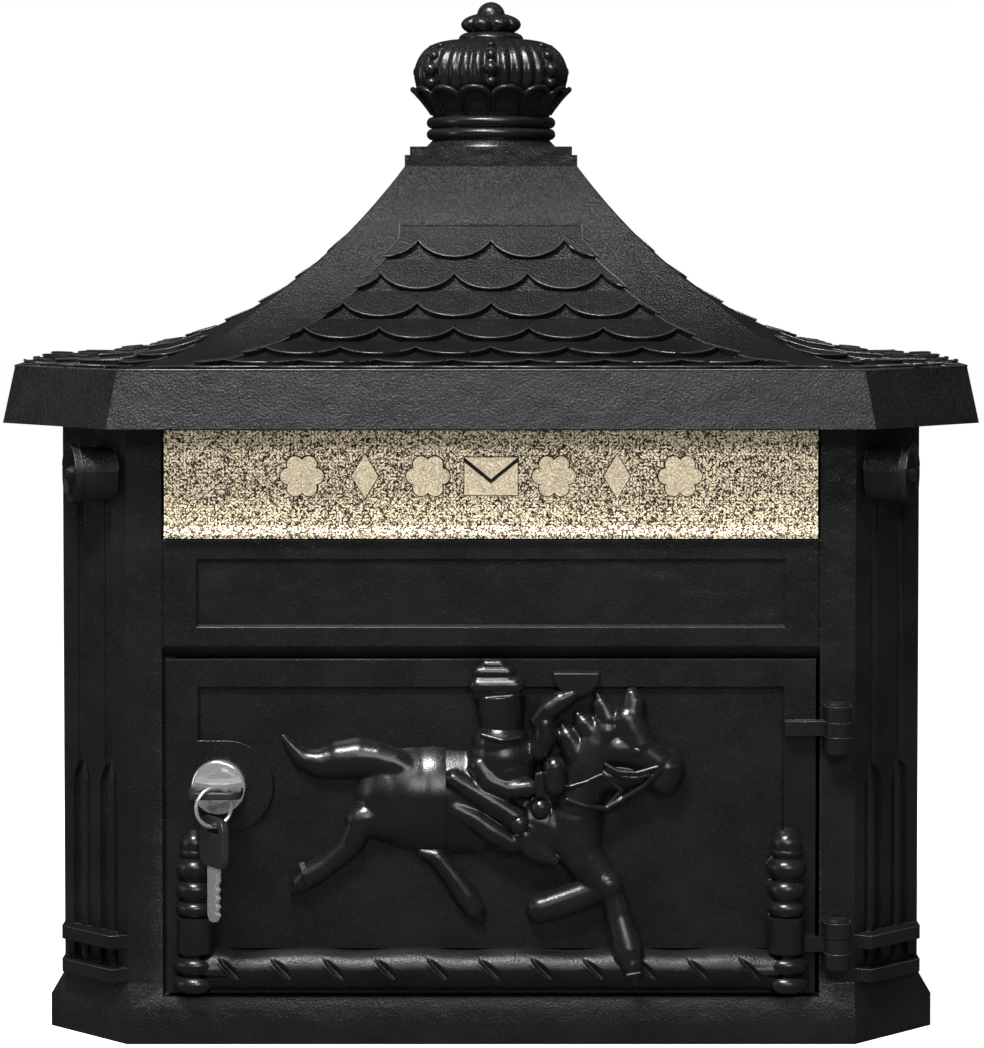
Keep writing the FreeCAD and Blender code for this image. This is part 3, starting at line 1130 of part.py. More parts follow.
# Stations along each limb of the relief: across, height, half width on the panel, and rise off it
RELIEF = {
    "tail": ((-84.4, 125.2, 1.2, 3.0), (-80.6, 120.4, 2.6, 4.0), (-75.8, 115.5, 4.6, 5.2),
             (-69.2, 113.8, 6.4, 6.2), (-61.6, 115.1, 8.2, 6.8), (-54.0, 116.0, 8.6, 7.0),
             (-46.4, 116.0, 6.6, 6.8), (-40.0, 115.1, 3.8, 6.2), (-34.9, 113.8, 3.6, 6.4)),
    "rump": ((-38.5, 98.3, 15.6, 8.6), (-31.8, 98.3, 20.4, 9.8), (-23.5, 98.2, 21.8, 9.8)),
    "barrel": ((-21.0, 98.1, 21.3, 8.8), (3.1, 95.8, 18.6, 8.4)),
    "girth": ((4.4, 93.3, 16.6, 8.4), (15.8, 89.4, 14.0, 8.6), (26.0, 86.9, 12.6, 9.4)),
    "chest": ((32.1, 91.3, 12.6, 10.6), (33.6, 83.1, 10.8, 10.4)),
    "thigh": ((-42.5, 92.0, 9.6, 8.4), (-51.4, 91.3, 7.2, 7.8), (-53.5, 90.7, 6.6, 7.8)),
    "shin": ((-53.2, 89.2, 6.4, 7.8), (-56.8, 81.2, 5.4, 7.0), (-66.7, 72.9, 4.7, 6.6),
             (-72.8, 68.9, 5.4, 6.8), (-77.4, 65.1, 4.0, 5.6), (-81.0, 61.8, 1.4, 3.6)),
    "hind_leg": ((-29.1, 76.5, 1.2, 2.6), (-22.2, 74.7, 3.2, 4.2), (-15.3, 67.2, 4.4, 5.2),
                 (-9.8, 59.2, 5.0, 5.8), (-6.5, 54.2, 4.4, 5.4), (-3.8, 50.1, 1.6, 3.6)),
    "neck": ((32.6, 98.3, 10.8, 10.4), (35.9, 108.5, 8.6, 9.2), (38.7, 117.4, 8.2, 8.8),
             (42.0, 126.3, 5.8, 8.0)),
    "jowl": ((51.5, 121.1, 6.4, 9.0), (65.0, 115.6, 6.7, 9.3)),
    "muzzle": ((71.2, 112.0, 8.0, 9.8), (70.2, 108.7, 7.8, 9.8)),
    "jaw": ((40.0, 109.8, 6.0, 7.6), (50.7, 108.5, 5.2, 7.4), (61.5, 108.5, 4.0, 7.4)),
    "ear": ((55.4, 128.0, 5.2, 8.2), (56.7, 135.1, 5.6, 8.0), (57.5, 140.8, 4.8, 6.8)),
    "mane_high": ((42.9, 143.3, 0.9, 4.4), (45.3, 138.3, 3.4, 6.2), (48.1, 132.9, 5.0, 7.6)),
    "mane_middle": ((35.3, 135.5, 0.9, 4.2), (38.4, 131.6, 3.6, 6.2), (42.2, 126.3, 5.2, 7.4)),
    "mane_low": ((28.8, 129.8, 0.9, 4.0), (31.3, 125.0, 3.6, 6.0), (34.6, 118.4, 5.4, 7.4)),
    "shoulder": ((33.6, 81.8, 10.2, 10.0), (38.4, 74.5, 8.6, 9.8), (43.8, 67.9, 7.4, 9.6)),
    "knee": ((47.3, 65.1, 6.2, 10.8), (47.8, 64.3, 6.0, 10.8)),
    "foreleg": ((49.6, 59.5, 3.8, 9.6), (51.4, 50.1, 4.5, 10.6), (54.2, 42.5, 6.2, 13.0),
                (55.2, 38.7, 6.6, 14.2), (56.7, 33.1, 3.6, 14.6), (57.7, 29.5, 2.6, 14.4),
                (58.1, 25.7, 1.1, 13.2)),
    "folded_leg": ((41.9, 62.8, 5.6, 8.4), (31.7, 57.5, 6.2, 8.0), (24.1, 55.4, 5.8, 7.8),
                   (19.4, 54.4, 5.6, 7.6)),
    "head": ((3.0, 139.6, 10.4, 9.2), (3.9, 133.6, 9.0, 9.2), (4.4, 129.4, 8.6, 9.4)),
    "torso": ((3.9, 121.8, 12.0, 11.4), (4.7, 115.5, 14.2, 12.4), (5.7, 111.0, 12.6, 12.6)),
    "low_arm": ((-4.5, 113.6, 4.6, 11.0), (-0.4, 107.7, 4.6, 13.0), (7.0, 104.7, 3.9, 13.8),
                (15.8, 105.7, 3.6, 13.6)),
    "high_arm": ((21.2, 119.7, 3.2, 8.6), (21.4, 125.0, 4.4, 9.6), (19.4, 130.1, 4.6, 9.6)),
    "forearm": ((17.4, 133.9, 2.8, 8.2), (21.7, 137.9, 4.3, 9.2), (27.5, 140.7, 3.8, 8.8),
                (32.8, 140.2, 2.4, 7.4)),
    "rider_leg": ((-15.1, 109.0, 2.8, 10.2), (-8.3, 104.7, 3.6, 11.6), (1.9, 98.3, 4.3, 12.8),
                  (9.7, 93.0, 4.4, 13.2)),
    "skirt": ((-14.4, 96.4, 4.4, 9.6), (-7.0, 93.0, 3.9, 10.6), (0.6, 86.9, 4.2, 10.8),
              (7.0, 82.3, 3.8, 10.4)),
    "boot": ((13.8, 85.4, 3.8, 11.4), (16.1, 80.3, 4.6, 11.0)),
    "toe": ((15.93, 80.21, 4.6, 10.93), (22.23, 76.41, 2.6, 9.53)),
    "toe_tip": ((22.4, 76.5, 2.6, 9.6), (25.5, 74.7, 1.4, 8.8)),
    "hat": ((0.4, 155.2, 3.4, 8.2), (4.2, 155.2, 3.4, 8.2)),
    "hat_ring": ((-2.6, 151.9, 2.6, 9.0), (7.3, 151.9, 2.6, 9.0)),
    "brim": ((-5.1, 146.3, 4.0, 10.2), (9.7, 146.3, 4.0, 10.2)),
    "hand": ((25.5, 114.1, 4.7, 13.0), (25.7, 109.5, 4.5, 13.0)),
    "cuff": ((18.8, 111.0, 1.3, 13.2), (19.1, 102.6, 1.3, 12.6)),
    "pommel": ((20.0, 97.1, 4.2, 12.8), (20.2, 96.7, 4.2, 12.8)),
    "knee_cap": ((11.3, 91.0, 3.9, 13.8), (11.5, 90.5, 3.9, 13.8)),
    "noseband": ((46.3, 114.6, 1.1, 9.6), (51.4, 111.8, 1.1, 10.6), (59.0, 111.3, 1.1, 10.8),
                 (67.6, 113.8, 1.2, 10.8)),
    "rein": ((30.8, 100.5, 1.2, 11.2), (38.7, 97.8, 1.2, 11.2), (46.6, 96.6, 1.2, 9.0),
             (53.4, 100.4, 1.2, 8.4), (61.8, 105.7, 1.2, 9.2), (68.1, 112.3, 1.2, 10.6)),
    "eye": ((59.2, 120.0, 2.7, 10.6), (59.5, 119.8, 2.7, 10.6)),
}


PEGS = (-25.0, 30.0)


def limb(stations, panel):
    """A chain of round-ended limbs that stand off the door's panel; a wide, flat one is part of a large ball."""
    spots = []
    for across, height, half, rise in stations:
        radius = (half ** 2 + rise ** 2) / (2 * rise) if half > rise else half
        spots.append((Vector(across, -panel - rise + radius, level(height)), radius))
    parts = []
    for (start, start_radius), (end, end_radius) in zip(spots, spots[1:]):
        parts.append(capsule(start, end, start_radius, end_radius))
    return parts


def melted(whole, part):
    """Fuses a limb to the rest; one whose faces only graze the rest moves by a hair until it fuses cleanly."""
    for shift in (Vector(), Vector(-0.17, 0.07, -0.09), Vector(0.13, 0.07, 0.07), Vector(0.31, -0.05, 0.15)):
        moved = part.copy()
        moved.translate(shift)
        result = whole.fuse(moved)
        if result.isValid() and result.Volume >= whole.Volume - 1:
            return result
    raise RuntimeError("a limb of the relief doesn't fuse")


def door_ornament(door_piece):
    """The horse and rider: a relief casting that lies on the panel, the frame and the rope rail."""
    panel = size("body_front") - size("door_panel_depth")
    whole = None
    for stations in RELIEF.values():
        for part in limb(stations, panel):
            whole = part if whole is None else melted(whole, part)
    bell = Part.makeCylinder(size("bell_radius"), size("bell_rise"),
                             Vector(size("bell_across"), -panel, level(size("bell_level"))), Vector(0, -1, 0))
    cap = Part.makeBox(60, 60, 60, Vector(size("bell_across") - 30, -panel - 40, level(size("bell_level"))))
    whole = whole.fuse(bell.cut(cap))
    keep = Part.makeBox(300, 40, 200, Vector(-150, -panel - 40, level(0)))
    whole = whole.common(keep)
    depth = size("door_thick") - size("door_panel_depth")
    for across in PEGS:
        whole = whole.fuse(Part.makeCylinder(size("peg_radius"), depth + 2,
                                             Vector(across, -panel - 2, level(size("peg_level"))), DEEP))
    whole = whole.cut(door_piece.Shape)
    largest = max(whole.Solids, key=lambda part: part.Volume)
    piece(solid("door_ornament", largest), "door_ornament")


def hinge_pins():
    """The two hinge pins, each with a domed cap at both ends."""
    for node, name in (("hinge_pin_upper", "strap_high"), ("hinge_pin_lower", "strap_low")):
        half = "(strap_height / 2 + side_play + knuckle_height)"
        profile = [("0", f"-{half} - pin_cap_height"), ("pin_cap * 0.75", f"-{half} - pin_cap_height"),
                   ("pin_cap", f"-{half} - pin_cap_height * 0.4"), ("pin_cap", f"-{half} - 0.02"),
                   ("hinge_pin", f"-{half} - 0.02"), ("hinge_pin", f"{half} + 0.02"), ("pin_cap", f"{half} + 0.02"),
                   ("pin_cap", f"{half} + pin_cap_height * 0.4"), ("pin_cap * 0.75", f"{half} + pin_cap_height"),
                   ("0", f"{half} + pin_cap_height")]
        piece(turned(node, profile, "hinge_across", f"{FACE} - hinge_proud", name), node)


# Lock and keys

LOCK_X = "-lock_across"
BARREL_END = f"{FACE} + lock_reach"


def lock():
    """The cam lock: body, plug, washer, nut, cam and cam screw."""
    head = cylinder("lock_head_blank", LOCK_X, f"{FACE} - lock_head_height", "lock_level", "lock_head",
                    "lock_head_height", DEEP)
    barrel = cylinder("lock_barrel_blank", LOCK_X, f"{FACE} - 0.5", "lock_level", "lock_barrel", "lock_reach + 0.5",
                      DEEP)
    rim = bind(named("Part::Fillet", "lock_head_round"))
    doc.recompute()
    rim.Base = head
    edges = [i for i, edge in enumerate(head.Shape.Edges, start=1)
             if abs(edge.CenterOfMass.y + size("body_front") + size("lock_head_height")) < 1e-6
             and edge.Curve.TypeId == "Part::GeomCircle"]
    rim.Edges = [(i, 1.2, 1.2) for i in edges]
    bore = cylinder("lock_bore", LOCK_X, f"{FACE} - lock_head_height - 1", "lock_level",
                    "plug_radius + running_gap", "lock_reach + lock_head_height + 2", DEEP)
    piece(cut("lock_housing", fuse("lock_body", [rim, barrel]), [bore]), "lock_housing")

    front = f"{FACE} - lock_head_height - plug_proud"
    length = "lock_reach + lock_head_height + plug_proud"
    plug = cylinder("plug_blank", LOCK_X, front, "lock_level", "plug_radius", length, DEEP)
    square = box("plug_square_end", f"{LOCK_X} - plug_square", f"{BARREL_END} - 1", "lock_level - plug_square",
                 "2 * plug_square", "plug_square_length + 1", "2 * plug_square")
    keyway = box("keyway", f"{LOCK_X} - blade_width / 2 - slot_gap", f"{front} - 1",
                 "lock_level - blade_thick / 2 - slot_gap", "blade_width + 2 * slot_gap",
                 "blade_length - bow_stand + plug_proud + 1.5", "blade_thick + 2 * slot_gap")
    thread = cylinder("plug_thread", LOCK_X, f"{BARREL_END} + plug_square_length - cam_screw_length", "lock_level",
                      "cam_screw_radius + running_gap", "cam_screw_length + 1", DEEP)
    piece(cut("lock_plug", fuse("plug_whole", [plug, square]), [keyway, thread]), "lock_plug")

    back = f"{FACE} + door_thick"
    washer = cylinder("lock_washer_blank", LOCK_X, back, "lock_level", "lock_washer_radius", "lock_washer_thick", DEEP)
    hole = cylinder("lock_washer_hole", LOCK_X, f"{back} - 1", "lock_level", "lock_barrel + running_gap",
                    "lock_washer_thick + 2", DEEP)
    piece(cut("lock_washer", washer, [hole]), "lock_washer")
    hexagon_nut("lock_nut", LOCK_X, f"{back} + lock_washer_thick", "lock_level", "lock_nut_flat", "lock_nut_height",
                "lock_barrel + running_gap", DEEP)

    cam_face = f"{BARREL_END} + 0.1"
    arm = box("cam_arm", f"{LOCK_X} - cam_width / 2", cam_face, "lock_level - cam_length", "cam_width", "cam_thick",
              "cam_length")
    eye = cylinder("cam_eye", LOCK_X, cam_face, "lock_level", "cam_width / 2", "cam_thick", DEEP)
    window = box("cam_window", f"{LOCK_X} - plug_square - running_gap", f"{cam_face} - 1",
                 "lock_level - plug_square - running_gap", "2 * (plug_square + running_gap)", "cam_thick + 2",
                 "2 * (plug_square + running_gap)")
    piece(cut("lock_cam", fuse("cam_blank", [arm, eye]), [window]), "lock_cam")

    seat = f"{BARREL_END} + plug_square_length"
    bolt = cylinder("cam_screw_shank", LOCK_X, f"{seat} - cam_screw_length + 1", "lock_level", "cam_screw_radius",
                    "cam_screw_length", DEEP)
    cap = cylinder("cam_screw_cap", LOCK_X, seat, "lock_level", "cam_screw_head", "cam_thick", DEEP)
    piece(fuse("cam_screw", [bolt, cap]), "cam_screw")


def key_shapes():
    """A key lying along Y with its shoulder at the origin: steel blade and moulded head."""
    width, thick, length = size("blade_width"), size("blade_thick"), size("blade_length")
    tang = size("blade_tang")
    notch, teeth = 1.4, 4
    edge = width / 2
    outline = [(-edge, -tang), (edge, -tang), (edge, length - 2), (edge - 2, length), (3 - edge, length)]
    for k in range(teeth):
        root = length - 3 - k * 3.4
        outline += [(-edge, root), (notch - edge, root - 1.2), (notch - edge, root - 2.0)]
    outline.append((-edge, length - 3 - teeth * 3.4))
    points = [Vector(x, y, -thick / 2) for x, y in outline]
    blade = Part.Face(Part.makePolygon(points + points[:1])).extrude(UP * thick)

    half, reach, high, corner = size("bow_width") / 2, size("bow_length"), size("bow_thick"), size("bow_round")
    head = Part.makeBox(2 * half, reach, high, Vector(-half, -reach, -high / 2))
    upright = [edge for edge in head.Edges if abs(edge.tangentAt(edge.FirstParameter).z) > 0.9]
    head = head.makeFillet(corner, upright)
    rim = [edge for edge in head.Edges if abs(edge.CenterOfMass.z) > high / 2 - 1e-6]
    head = head.makeFillet(0.6, rim)
    slot_half, slot_wide = size("bow_slot_length") / 2, size("bow_slot")
    low = -reach + size("bow_edge")
    slot = Part.makeBox(2 * slot_half - slot_wide, slot_wide, 2 * high, Vector(-slot_half + slot_wide / 2, low, -high))
    ends = [Part.makeCylinder(slot_wide / 2, 2 * high, Vector(side * (slot_half - slot_wide / 2),
                                                              low + slot_wide / 2, -high)) for side in SIDES]
    pocket = Part.makeBox(width, tang + 1, thick, Vector(-width / 2, -tang, -thick / 2))
    return blade, head.cut(slot.multiFuse(ends)).cut(pocket)


def keys():
    """The key in the lock, the ring and the spare key that hangs on it."""
    shoulder_y = -size("body_front") - size("lock_head_height") - size("bow_stand")
    axis = Vector(-size("lock_across"), shoulder_y, level(size("lock_level")))
    blade, head = key_shapes()
    piece(solid("key_blade", blade, Placement(axis, Rotation())), "key_blade")
    piece(solid("key_head", head, Placement(axis, Rotation())), "key_head")

    strip = -size("bow_length") + size("bow_edge") / 2
    centre = axis + Vector(0, strip, -size("ring_drop"))
    turn = Rotation(UP, size("ring_turn"))
    ring = Part.makeTorus(size("ring_radius"), size("ring_wire"), Vector(), DEEP)
    piece(solid("key_ring", ring, Placement(centre, turn)), "key_ring")

    blade, head = key_shapes()
    wire = centre - UP * size("ring_radius")
    slot_edge = size("bow_length") - size("bow_edge")
    hang = wire + UP * (size("ring_wire") + 0.3) - UP * slot_edge
    stance = Placement(hang, Rotation(UP, size("ring_turn") + 90).multiply(Rotation(ACROSS, -90)))
    piece(solid("spare_key_blade", blade, stance), "spare_key_blade")
    piece(solid("spare_key_head", head, stance), "spare_key_head")


def check(items):
    """Stops on a failed object or a bad shape."""
    for item in doc.Objects:
        if "Invalid" in item.State or "Error" in item.State:
            raise RuntimeError(f"{item.Label} failed: {item.State}")
    for item in items:
        if item.Shape.isNull() or not item.Shape.isValid() or not item.Shape.Solids:
            raise RuntimeError(f"{item.Label} has no valid solid")


body_casting()
back_plate()
fasteners()
roof_casting()
finial()
letter_flap()
flap_rod()
door_piece = door()
doc.recompute()
door_ornament(door_piece)
hinge_pins()
lock()
keys()
doc.recompute()
check(pieces)

os.makedirs("parts", exist_ok=True)
for item in pieces:
    item.Shape.exportStep(f"parts/{item.Label}.step")
    print(f"{item.Label}: {len(item.Shape.Solids)} solid, {item.Shape.Volume:.0f} mm3")
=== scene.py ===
"""Looks of the wall mounted post box: its castings, crown, relief, finishes and studio."""

import json
import logging
import math
from contextlib import contextmanager
from dataclasses import dataclass, field
from enum import StrEnum
from typing import Iterator, Sequence

import bmesh
import bpy
from mathutils import Matrix, Vector


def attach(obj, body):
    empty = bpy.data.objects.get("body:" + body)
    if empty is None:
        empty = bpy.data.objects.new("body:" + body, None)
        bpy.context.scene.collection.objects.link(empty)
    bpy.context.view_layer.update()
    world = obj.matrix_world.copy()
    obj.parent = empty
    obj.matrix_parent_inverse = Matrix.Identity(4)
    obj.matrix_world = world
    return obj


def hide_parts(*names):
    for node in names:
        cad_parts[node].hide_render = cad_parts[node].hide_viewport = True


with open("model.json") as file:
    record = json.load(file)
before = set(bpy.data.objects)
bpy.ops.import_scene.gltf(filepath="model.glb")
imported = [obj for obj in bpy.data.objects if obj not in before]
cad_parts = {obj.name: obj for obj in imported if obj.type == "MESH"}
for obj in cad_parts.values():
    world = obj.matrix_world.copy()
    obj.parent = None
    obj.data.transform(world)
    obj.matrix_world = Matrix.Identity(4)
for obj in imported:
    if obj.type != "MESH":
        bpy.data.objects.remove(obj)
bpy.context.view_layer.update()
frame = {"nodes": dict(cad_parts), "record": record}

LOG = logging.getLogger("post_box")
MM = 0.001
MOUNT_HEIGHT = 130.0
PHOTO_WIDTH, PHOTO_HEIGHT = 984, 1048
UP = Vector((0.0, 0.0, 1.0))

Piece = bpy.types.Object
Finish = bpy.types.Material
Box = tuple[Vector, Vector]
Pair = tuple[float, float]
Triple = tuple[float, float, float]
Rows = tuple[tuple[float, float, float, float], ...]


def place(across: float, out: float, height: float) -> Vector:
    """Point of the frame from millimetres to the right, out of the wall and above the base's underside."""
    return Vector((across, -out, height - MOUNT_HEIGHT)) * MM


class Body(StrEnum):
    """Bodies that the copied castings ride on."""

    CASE = "case"
    FLAP = "flap"
    DOOR = "door"


class Slot(StrEnum):
    """Material slots, by their names in the record."""

    CASTING = "casting"
    GLOSS_CASTING = "gloss_casting"
    BRASS_FINISH = "brass_finish"
    BLACK_STEEL = "black_steel"
    LOCK_CHROME = "lock_chrome"
    KEY_STEEL = "key_steel"
    KEY_PLASTIC = "key_plastic"
    FASTENER_STEEL = "fastener_steel"


# Shader maths


class Value:
    """A number in a node tree; arithmetic on it adds Math nodes."""

    def __init__(self, paint: "Paint", socket: bpy.types.NodeSocket) -> None:
        """Wraps an output socket of a paint's tree."""
        self.paint, self.socket = paint, socket

    def math(self, operation: str, *others: "Value | float") -> "Value":
        """Adds a Math node that takes this value and then the others."""
        return self.paint.node("ShaderNodeMath", {"operation": operation}, dict(enumerate((self, *others))))

    def __add__(self, other: "Value | float") -> "Value":
        """Sum."""
        return self.math("ADD", other)

    def __mul__(self, other: "Value | float") -> "Value":
        """Product."""
        return self.math("MULTIPLY", other)

    def __sub__(self, other: "Value | float") -> "Value":
        """Difference."""
        return self.math("SUBTRACT", other)

    def __rsub__(self, other: float) -> "Value":
        """Difference from a number."""
        return (self * -1.0) + other

    def __abs__(self) -> "Value":
        """Size without the sign."""
        return self.math("ABSOLUTE")

    __radd__, __rmul__ = __add__, __mul__

    def ramp(self, low: float, high: float) -> "Value":
        """Stretches the span low..high to 0..1 and holds it there."""
        return self.paint.node("ShaderNodeMapRange", {"clamp": True},
                               {"Value": self, "From Min": low, "From Max": high})


class Paint:
    """A material and the nodes that make it."""

    def __init__(self, name: str) -> None:
        """Starts an empty material with its Principled shader.

        Args:
            name: The material's name.
        """
        self.material = bpy.data.materials.new(name)
        self.material.use_nodes = True
        self.tree = self.material.node_tree
        self.shader = self.tree.nodes["Principled BSDF"]

    def node(self, kind: str, settings: dict, inputs: dict, output: int | str = 0) -> Value:
        """Adds one node.

        Args:
            kind: The node's type.
            settings: Properties that are set first.
            inputs: Values or links by socket name or number.
            output: Which output is wanted.

        Returns:
            The wanted output.
        """
        made = self.tree.nodes.new(kind)
        for name, value in settings.items():
            setattr(made, name, value)
        for name, value in inputs.items():
            self.feed(made.inputs[name], value)
        return Value(self, made.outputs[output])

    def feed(self, socket: bpy.types.NodeSocket, value: object) -> None:
        """Links a value to a socket, or sets it there.

        Args:
            socket: The input.
            value: A Value, or what the input takes.
        """
        if isinstance(value, Value):
            self.tree.links.new(value.socket, socket)
        else:
            socket.default_value = value

    def set(self, **inputs: object) -> None:
        """Sets inputs of the Principled shader; underscores stand for spaces."""
        for name, value in inputs.items():
            self.feed(self.shader.inputs[name.replace("_", " ")], value)

    def position(self) -> Value:
        """Object coordinates."""
        return self.node("ShaderNodeTexCoord", {}, {}, "Object")

    def normal(self) -> Value:
        """The surface's direction in the object's own axes."""
        return self.node("ShaderNodeTexCoord", {}, {}, "Normal")

    def along(self, axis: str, vector: Value) -> Value:
        """A vector's number along X, Y or Z."""
        return self.node("ShaderNodeSeparateXYZ", {}, {"Vector": vector}, axis)

    def noise(self, size_mm: float, detail: float = 2.0, roughness: float = 0.5, seed: float = 0.0) -> Value:
        """Noise with features of about a size.

        Args:
            size_mm: Size of one feature.
            detail: Octaves.
            roughness: Share of the finer octaves.
            seed: Offset of the fourth dimension.

        Returns:
            The noise, about 0..1.
        """
        return self.node("ShaderNodeTexNoise", {"noise_dimensions": "4D"},
                         {"Vector": self.position(), "W": seed, "Scale": 1.0 / (size_mm * MM),
                          "Detail": detail, "Roughness": roughness})

    def blend(self, share: Value, low: Sequence[float], high: Sequence[float]) -> Value:
        """Mixes two colours; a share of 0 is the low one, and 1 the high one."""
        return self.node("ShaderNodeMix", {"data_type": "RGBA"}, {0: share, 6: low, 7: high}, 2)

    def relief(self, height: Value, depth_mm: float, strength: float = 1.0,
               below: Value | None = None) -> Value:
        """A bump of a depth.

        Args:
            height: Height, about 0..1.
            depth_mm: Depth of a height of 1.
            strength: Share of the bump that shows.
            below: A bump that this one lies on.

        Returns:
            The bent normal.
        """
        inputs = {"Height": height, "Distance": depth_mm * MM, "Strength": strength}
        if below is not None:
            inputs["Normal"] = below
        return self.node("ShaderNodeBump", {}, inputs)


def colour(red: float, green: float, blue: float) -> tuple[float, float, float, float]:
    """A linear colour with full alpha."""
    return (red, green, blue, 1.0)


@dataclass(frozen=True)
class BlackCoat:
    """Black coat on cast metal, coarser where a surface leans up and most on the roof's upper slope; its pale
    flecks there are partly grain and partly painted highlight.
    """

    name: str
    shade: float = 0.0048
    gloss: float = 0.37
    grain_mm: float = 0.9
    grain_depth_mm: float = 1.1
    sheen: float = 0.24
    wave_grains: float = 9.0
    dust_grains: float = 26.0
    # Pale flecks are this many times lighter than the coat; they are partly grain and partly painted
    # highlight.
    fleck_and_painted_sheen_shades: float = 8.0
    upper_slope_m: Pair = (0.205, 0.225)

    def material(self) -> Finish:
        """Builds the material: a fine orange-peel grain over faint casting waves, with pale flecks that are
        partly painted highlight.

        Returns:
            The material.
        """
        paint = Paint(self.name)
        grain = paint.noise(self.grain_mm, 3.0, 0.55)
        waves = paint.noise(self.grain_mm * self.wave_grains, 2.0, 0.4, 3.0)
        dust = paint.noise(self.grain_mm * self.dust_grains, 2.0, 0.5, 7.0)
        lean = paint.along("Z", paint.normal())
        upward, level = lean.ramp(0.06, 0.3), lean.ramp(0.8, 0.96)
        steep = lean.ramp(0.35, 0.5) * (1.0 - lean.ramp(0.58, 0.92))
        high = paint.along("Z", paint.position()).ramp(*self.upper_slope_m)
        coarse = (upward * ((high * 0.35) + 0.5)) + 0.15
        # Painted highlight: pale flecks gather on faces that lean up and most on the upper slope's steep
        # band, and thin out on level faces, in place of the lamp's highlight there.
        specks_and_painted_sheen = (coarse * 0.7) + (steep * ((high * 1.1) + 0.1)) - (level * 0.35)
        fleck_dust_and_painted_sheen = (grain.ramp(0.5, 0.68) * specks_and_painted_sheen * 0.8) + (dust.ramp(0.35, 0.75) * 0.1)
        deep = colour(self.shade, self.shade, self.shade * 1.02)
        pale = colour(*(self.shade * self.fleck_and_painted_sheen_shades,) * 3)
        rough = (grain * 0.14) + (self.gloss - 0.19) + (upward * 0.12) - (steep * 0.10)
        wavy = paint.relief(waves, self.grain_depth_mm * 1.6, 0.35)
        paint.set(Base_Color=paint.blend(fleck_dust_and_painted_sheen, deep, pale), Roughness=rough, Metallic=0.0,
                  Specular_IOR_Level=self.sheen,
                  Normal=paint.relief(grain * coarse, self.grain_depth_mm, 1.0, wavy))
        return paint.material


@dataclass(frozen=True)
class AntiqueBrass:
    """Pale stippled brass: wandering dark lines between worn crests, and polished raised motifs, with painted
    shade on the motif walls and the lower lip.
    """

    name: str = "antique_brass"
    pit_mm: float = 1.4
    pit_depth_mm: float = 0.9
    face_mm: float = 168.0
    motif_rise_mm: float = 1.2
    lip_top: float = 213.0
    # Heights below which the lower lip is darkened as painted shade.
    painted_shade_foot: Pair = (206.0, 215.0)

    def material(self) -> Finish:
        """Builds the material: rubbed crests over dark patina in the pits.

        Returns:
            The material.
        """
        paint = Paint(self.name)
        crests = paint.noise(self.pit_mm, 1.2, 0.5)
        fine = paint.noise(self.pit_mm * 0.45, 2.0, 0.5, 5.0)
        clouds = paint.noise(self.pit_mm * 14, 2.0, 0.5, 11.0)
        spot = paint.position()
        proud = (paint.along("Y", spot) * -1000.0) - self.face_mm
        height = (paint.along("Z", spot) * 1000.0) + MOUNT_HEIGHT
        raised = height.ramp(self.lip_top, self.lip_top + 0.5)
        # Painted shade: the motif walls take the dark patina colour, as a shaded outline round the motifs.
        walls = proud.ramp(0.06, 0.14) * raised
        tops = proud.ramp(self.motif_rise_mm * 0.86, self.motif_rise_mm * 0.93) * raised
        lines = abs(crests - 0.5).ramp(0.018, 0.08)
        dots = (fine + (clouds * 0.2)).ramp(0.42, 0.60)
        worn = (lines * ((dots * 0.65) + 0.35)).ramp(0.1, 0.64)
        rubbed_and_painted_light = (worn * (1.0 - walls)) + (tops * ((dots * 0.25) + 0.75))
        # Painted shade: below the painted shade foot the gold share drops by a third, so the lower lip reads
        # less lit.
        rubbed_and_painted_light = rubbed_and_painted_light * ((height.ramp(*self.painted_shade_foot) * 0.34) + 0.66)
        # The dark colour is patina in the pits and painted shade on the motif walls.
        patina, gold = colour(0.016, 0.011, 0.007), colour(0.94, 0.80, 0.56)
        paint.set(Base_Color=paint.blend(rubbed_and_painted_light, patina, gold), Metallic=0.35, Roughness=0.46,
                  Normal=paint.relief((worn * 0.7) + (fine * 0.3), self.pit_depth_mm, 1.0))
        return paint.material


@dataclass(frozen=True)
class BrightMetal:
    """Plated or bare metal with faint handling marks."""

    name: str
    tone: Triple
    roughness: float
    metal: float = 0.85
    marks_mm: float = 0.9

    def material(self) -> Finish:
        """Builds the material.

        Returns:
            The material.
        """
        paint = Paint(self.name)
        marks = paint.noise(self.marks_mm, 3.0, 0.6)
        paint.set(Base_Color=colour(*self.tone), Metallic=self.metal,
                  Roughness=(marks * 0.12) + (self.roughness - 0.06), Normal=paint.relief(marks, 0.01, 0.3))
        return paint.material


@dataclass(frozen=True)
class BlackPlastic:
    """Moulded black plastic with a fine spark grain."""

    name: str = "key_plastic"

    def material(self) -> Finish:
        """Builds the material.

        Returns:
            The material.
        """
        paint = Paint(self.name)
        grain = paint.noise(0.3, 2.0)
        paint.set(Base_Color=colour(0.012, 0.012, 0.013), Roughness=(grain * 0.1) + 0.32,
                  Specular_IOR_Level=0.5, Normal=paint.relief(grain, 0.02, 0.5))
        return paint.material


# Modelling


def deselect() -> None:
    """Leaves edit mode and deselects everything."""
    if bpy.context.object and bpy.context.object.mode != "OBJECT":
        bpy.ops.object.mode_set(mode="OBJECT")
    bpy.ops.object.select_all(action="DESELECT")


def choose(*items: Piece) -> None:
    """Selects objects and makes the last one active.

    Args:
        items: The objects.
    """
    deselect()
    for item in items:
        item.select_set(True)
    bpy.context.view_layer.objects.active = items[-1]


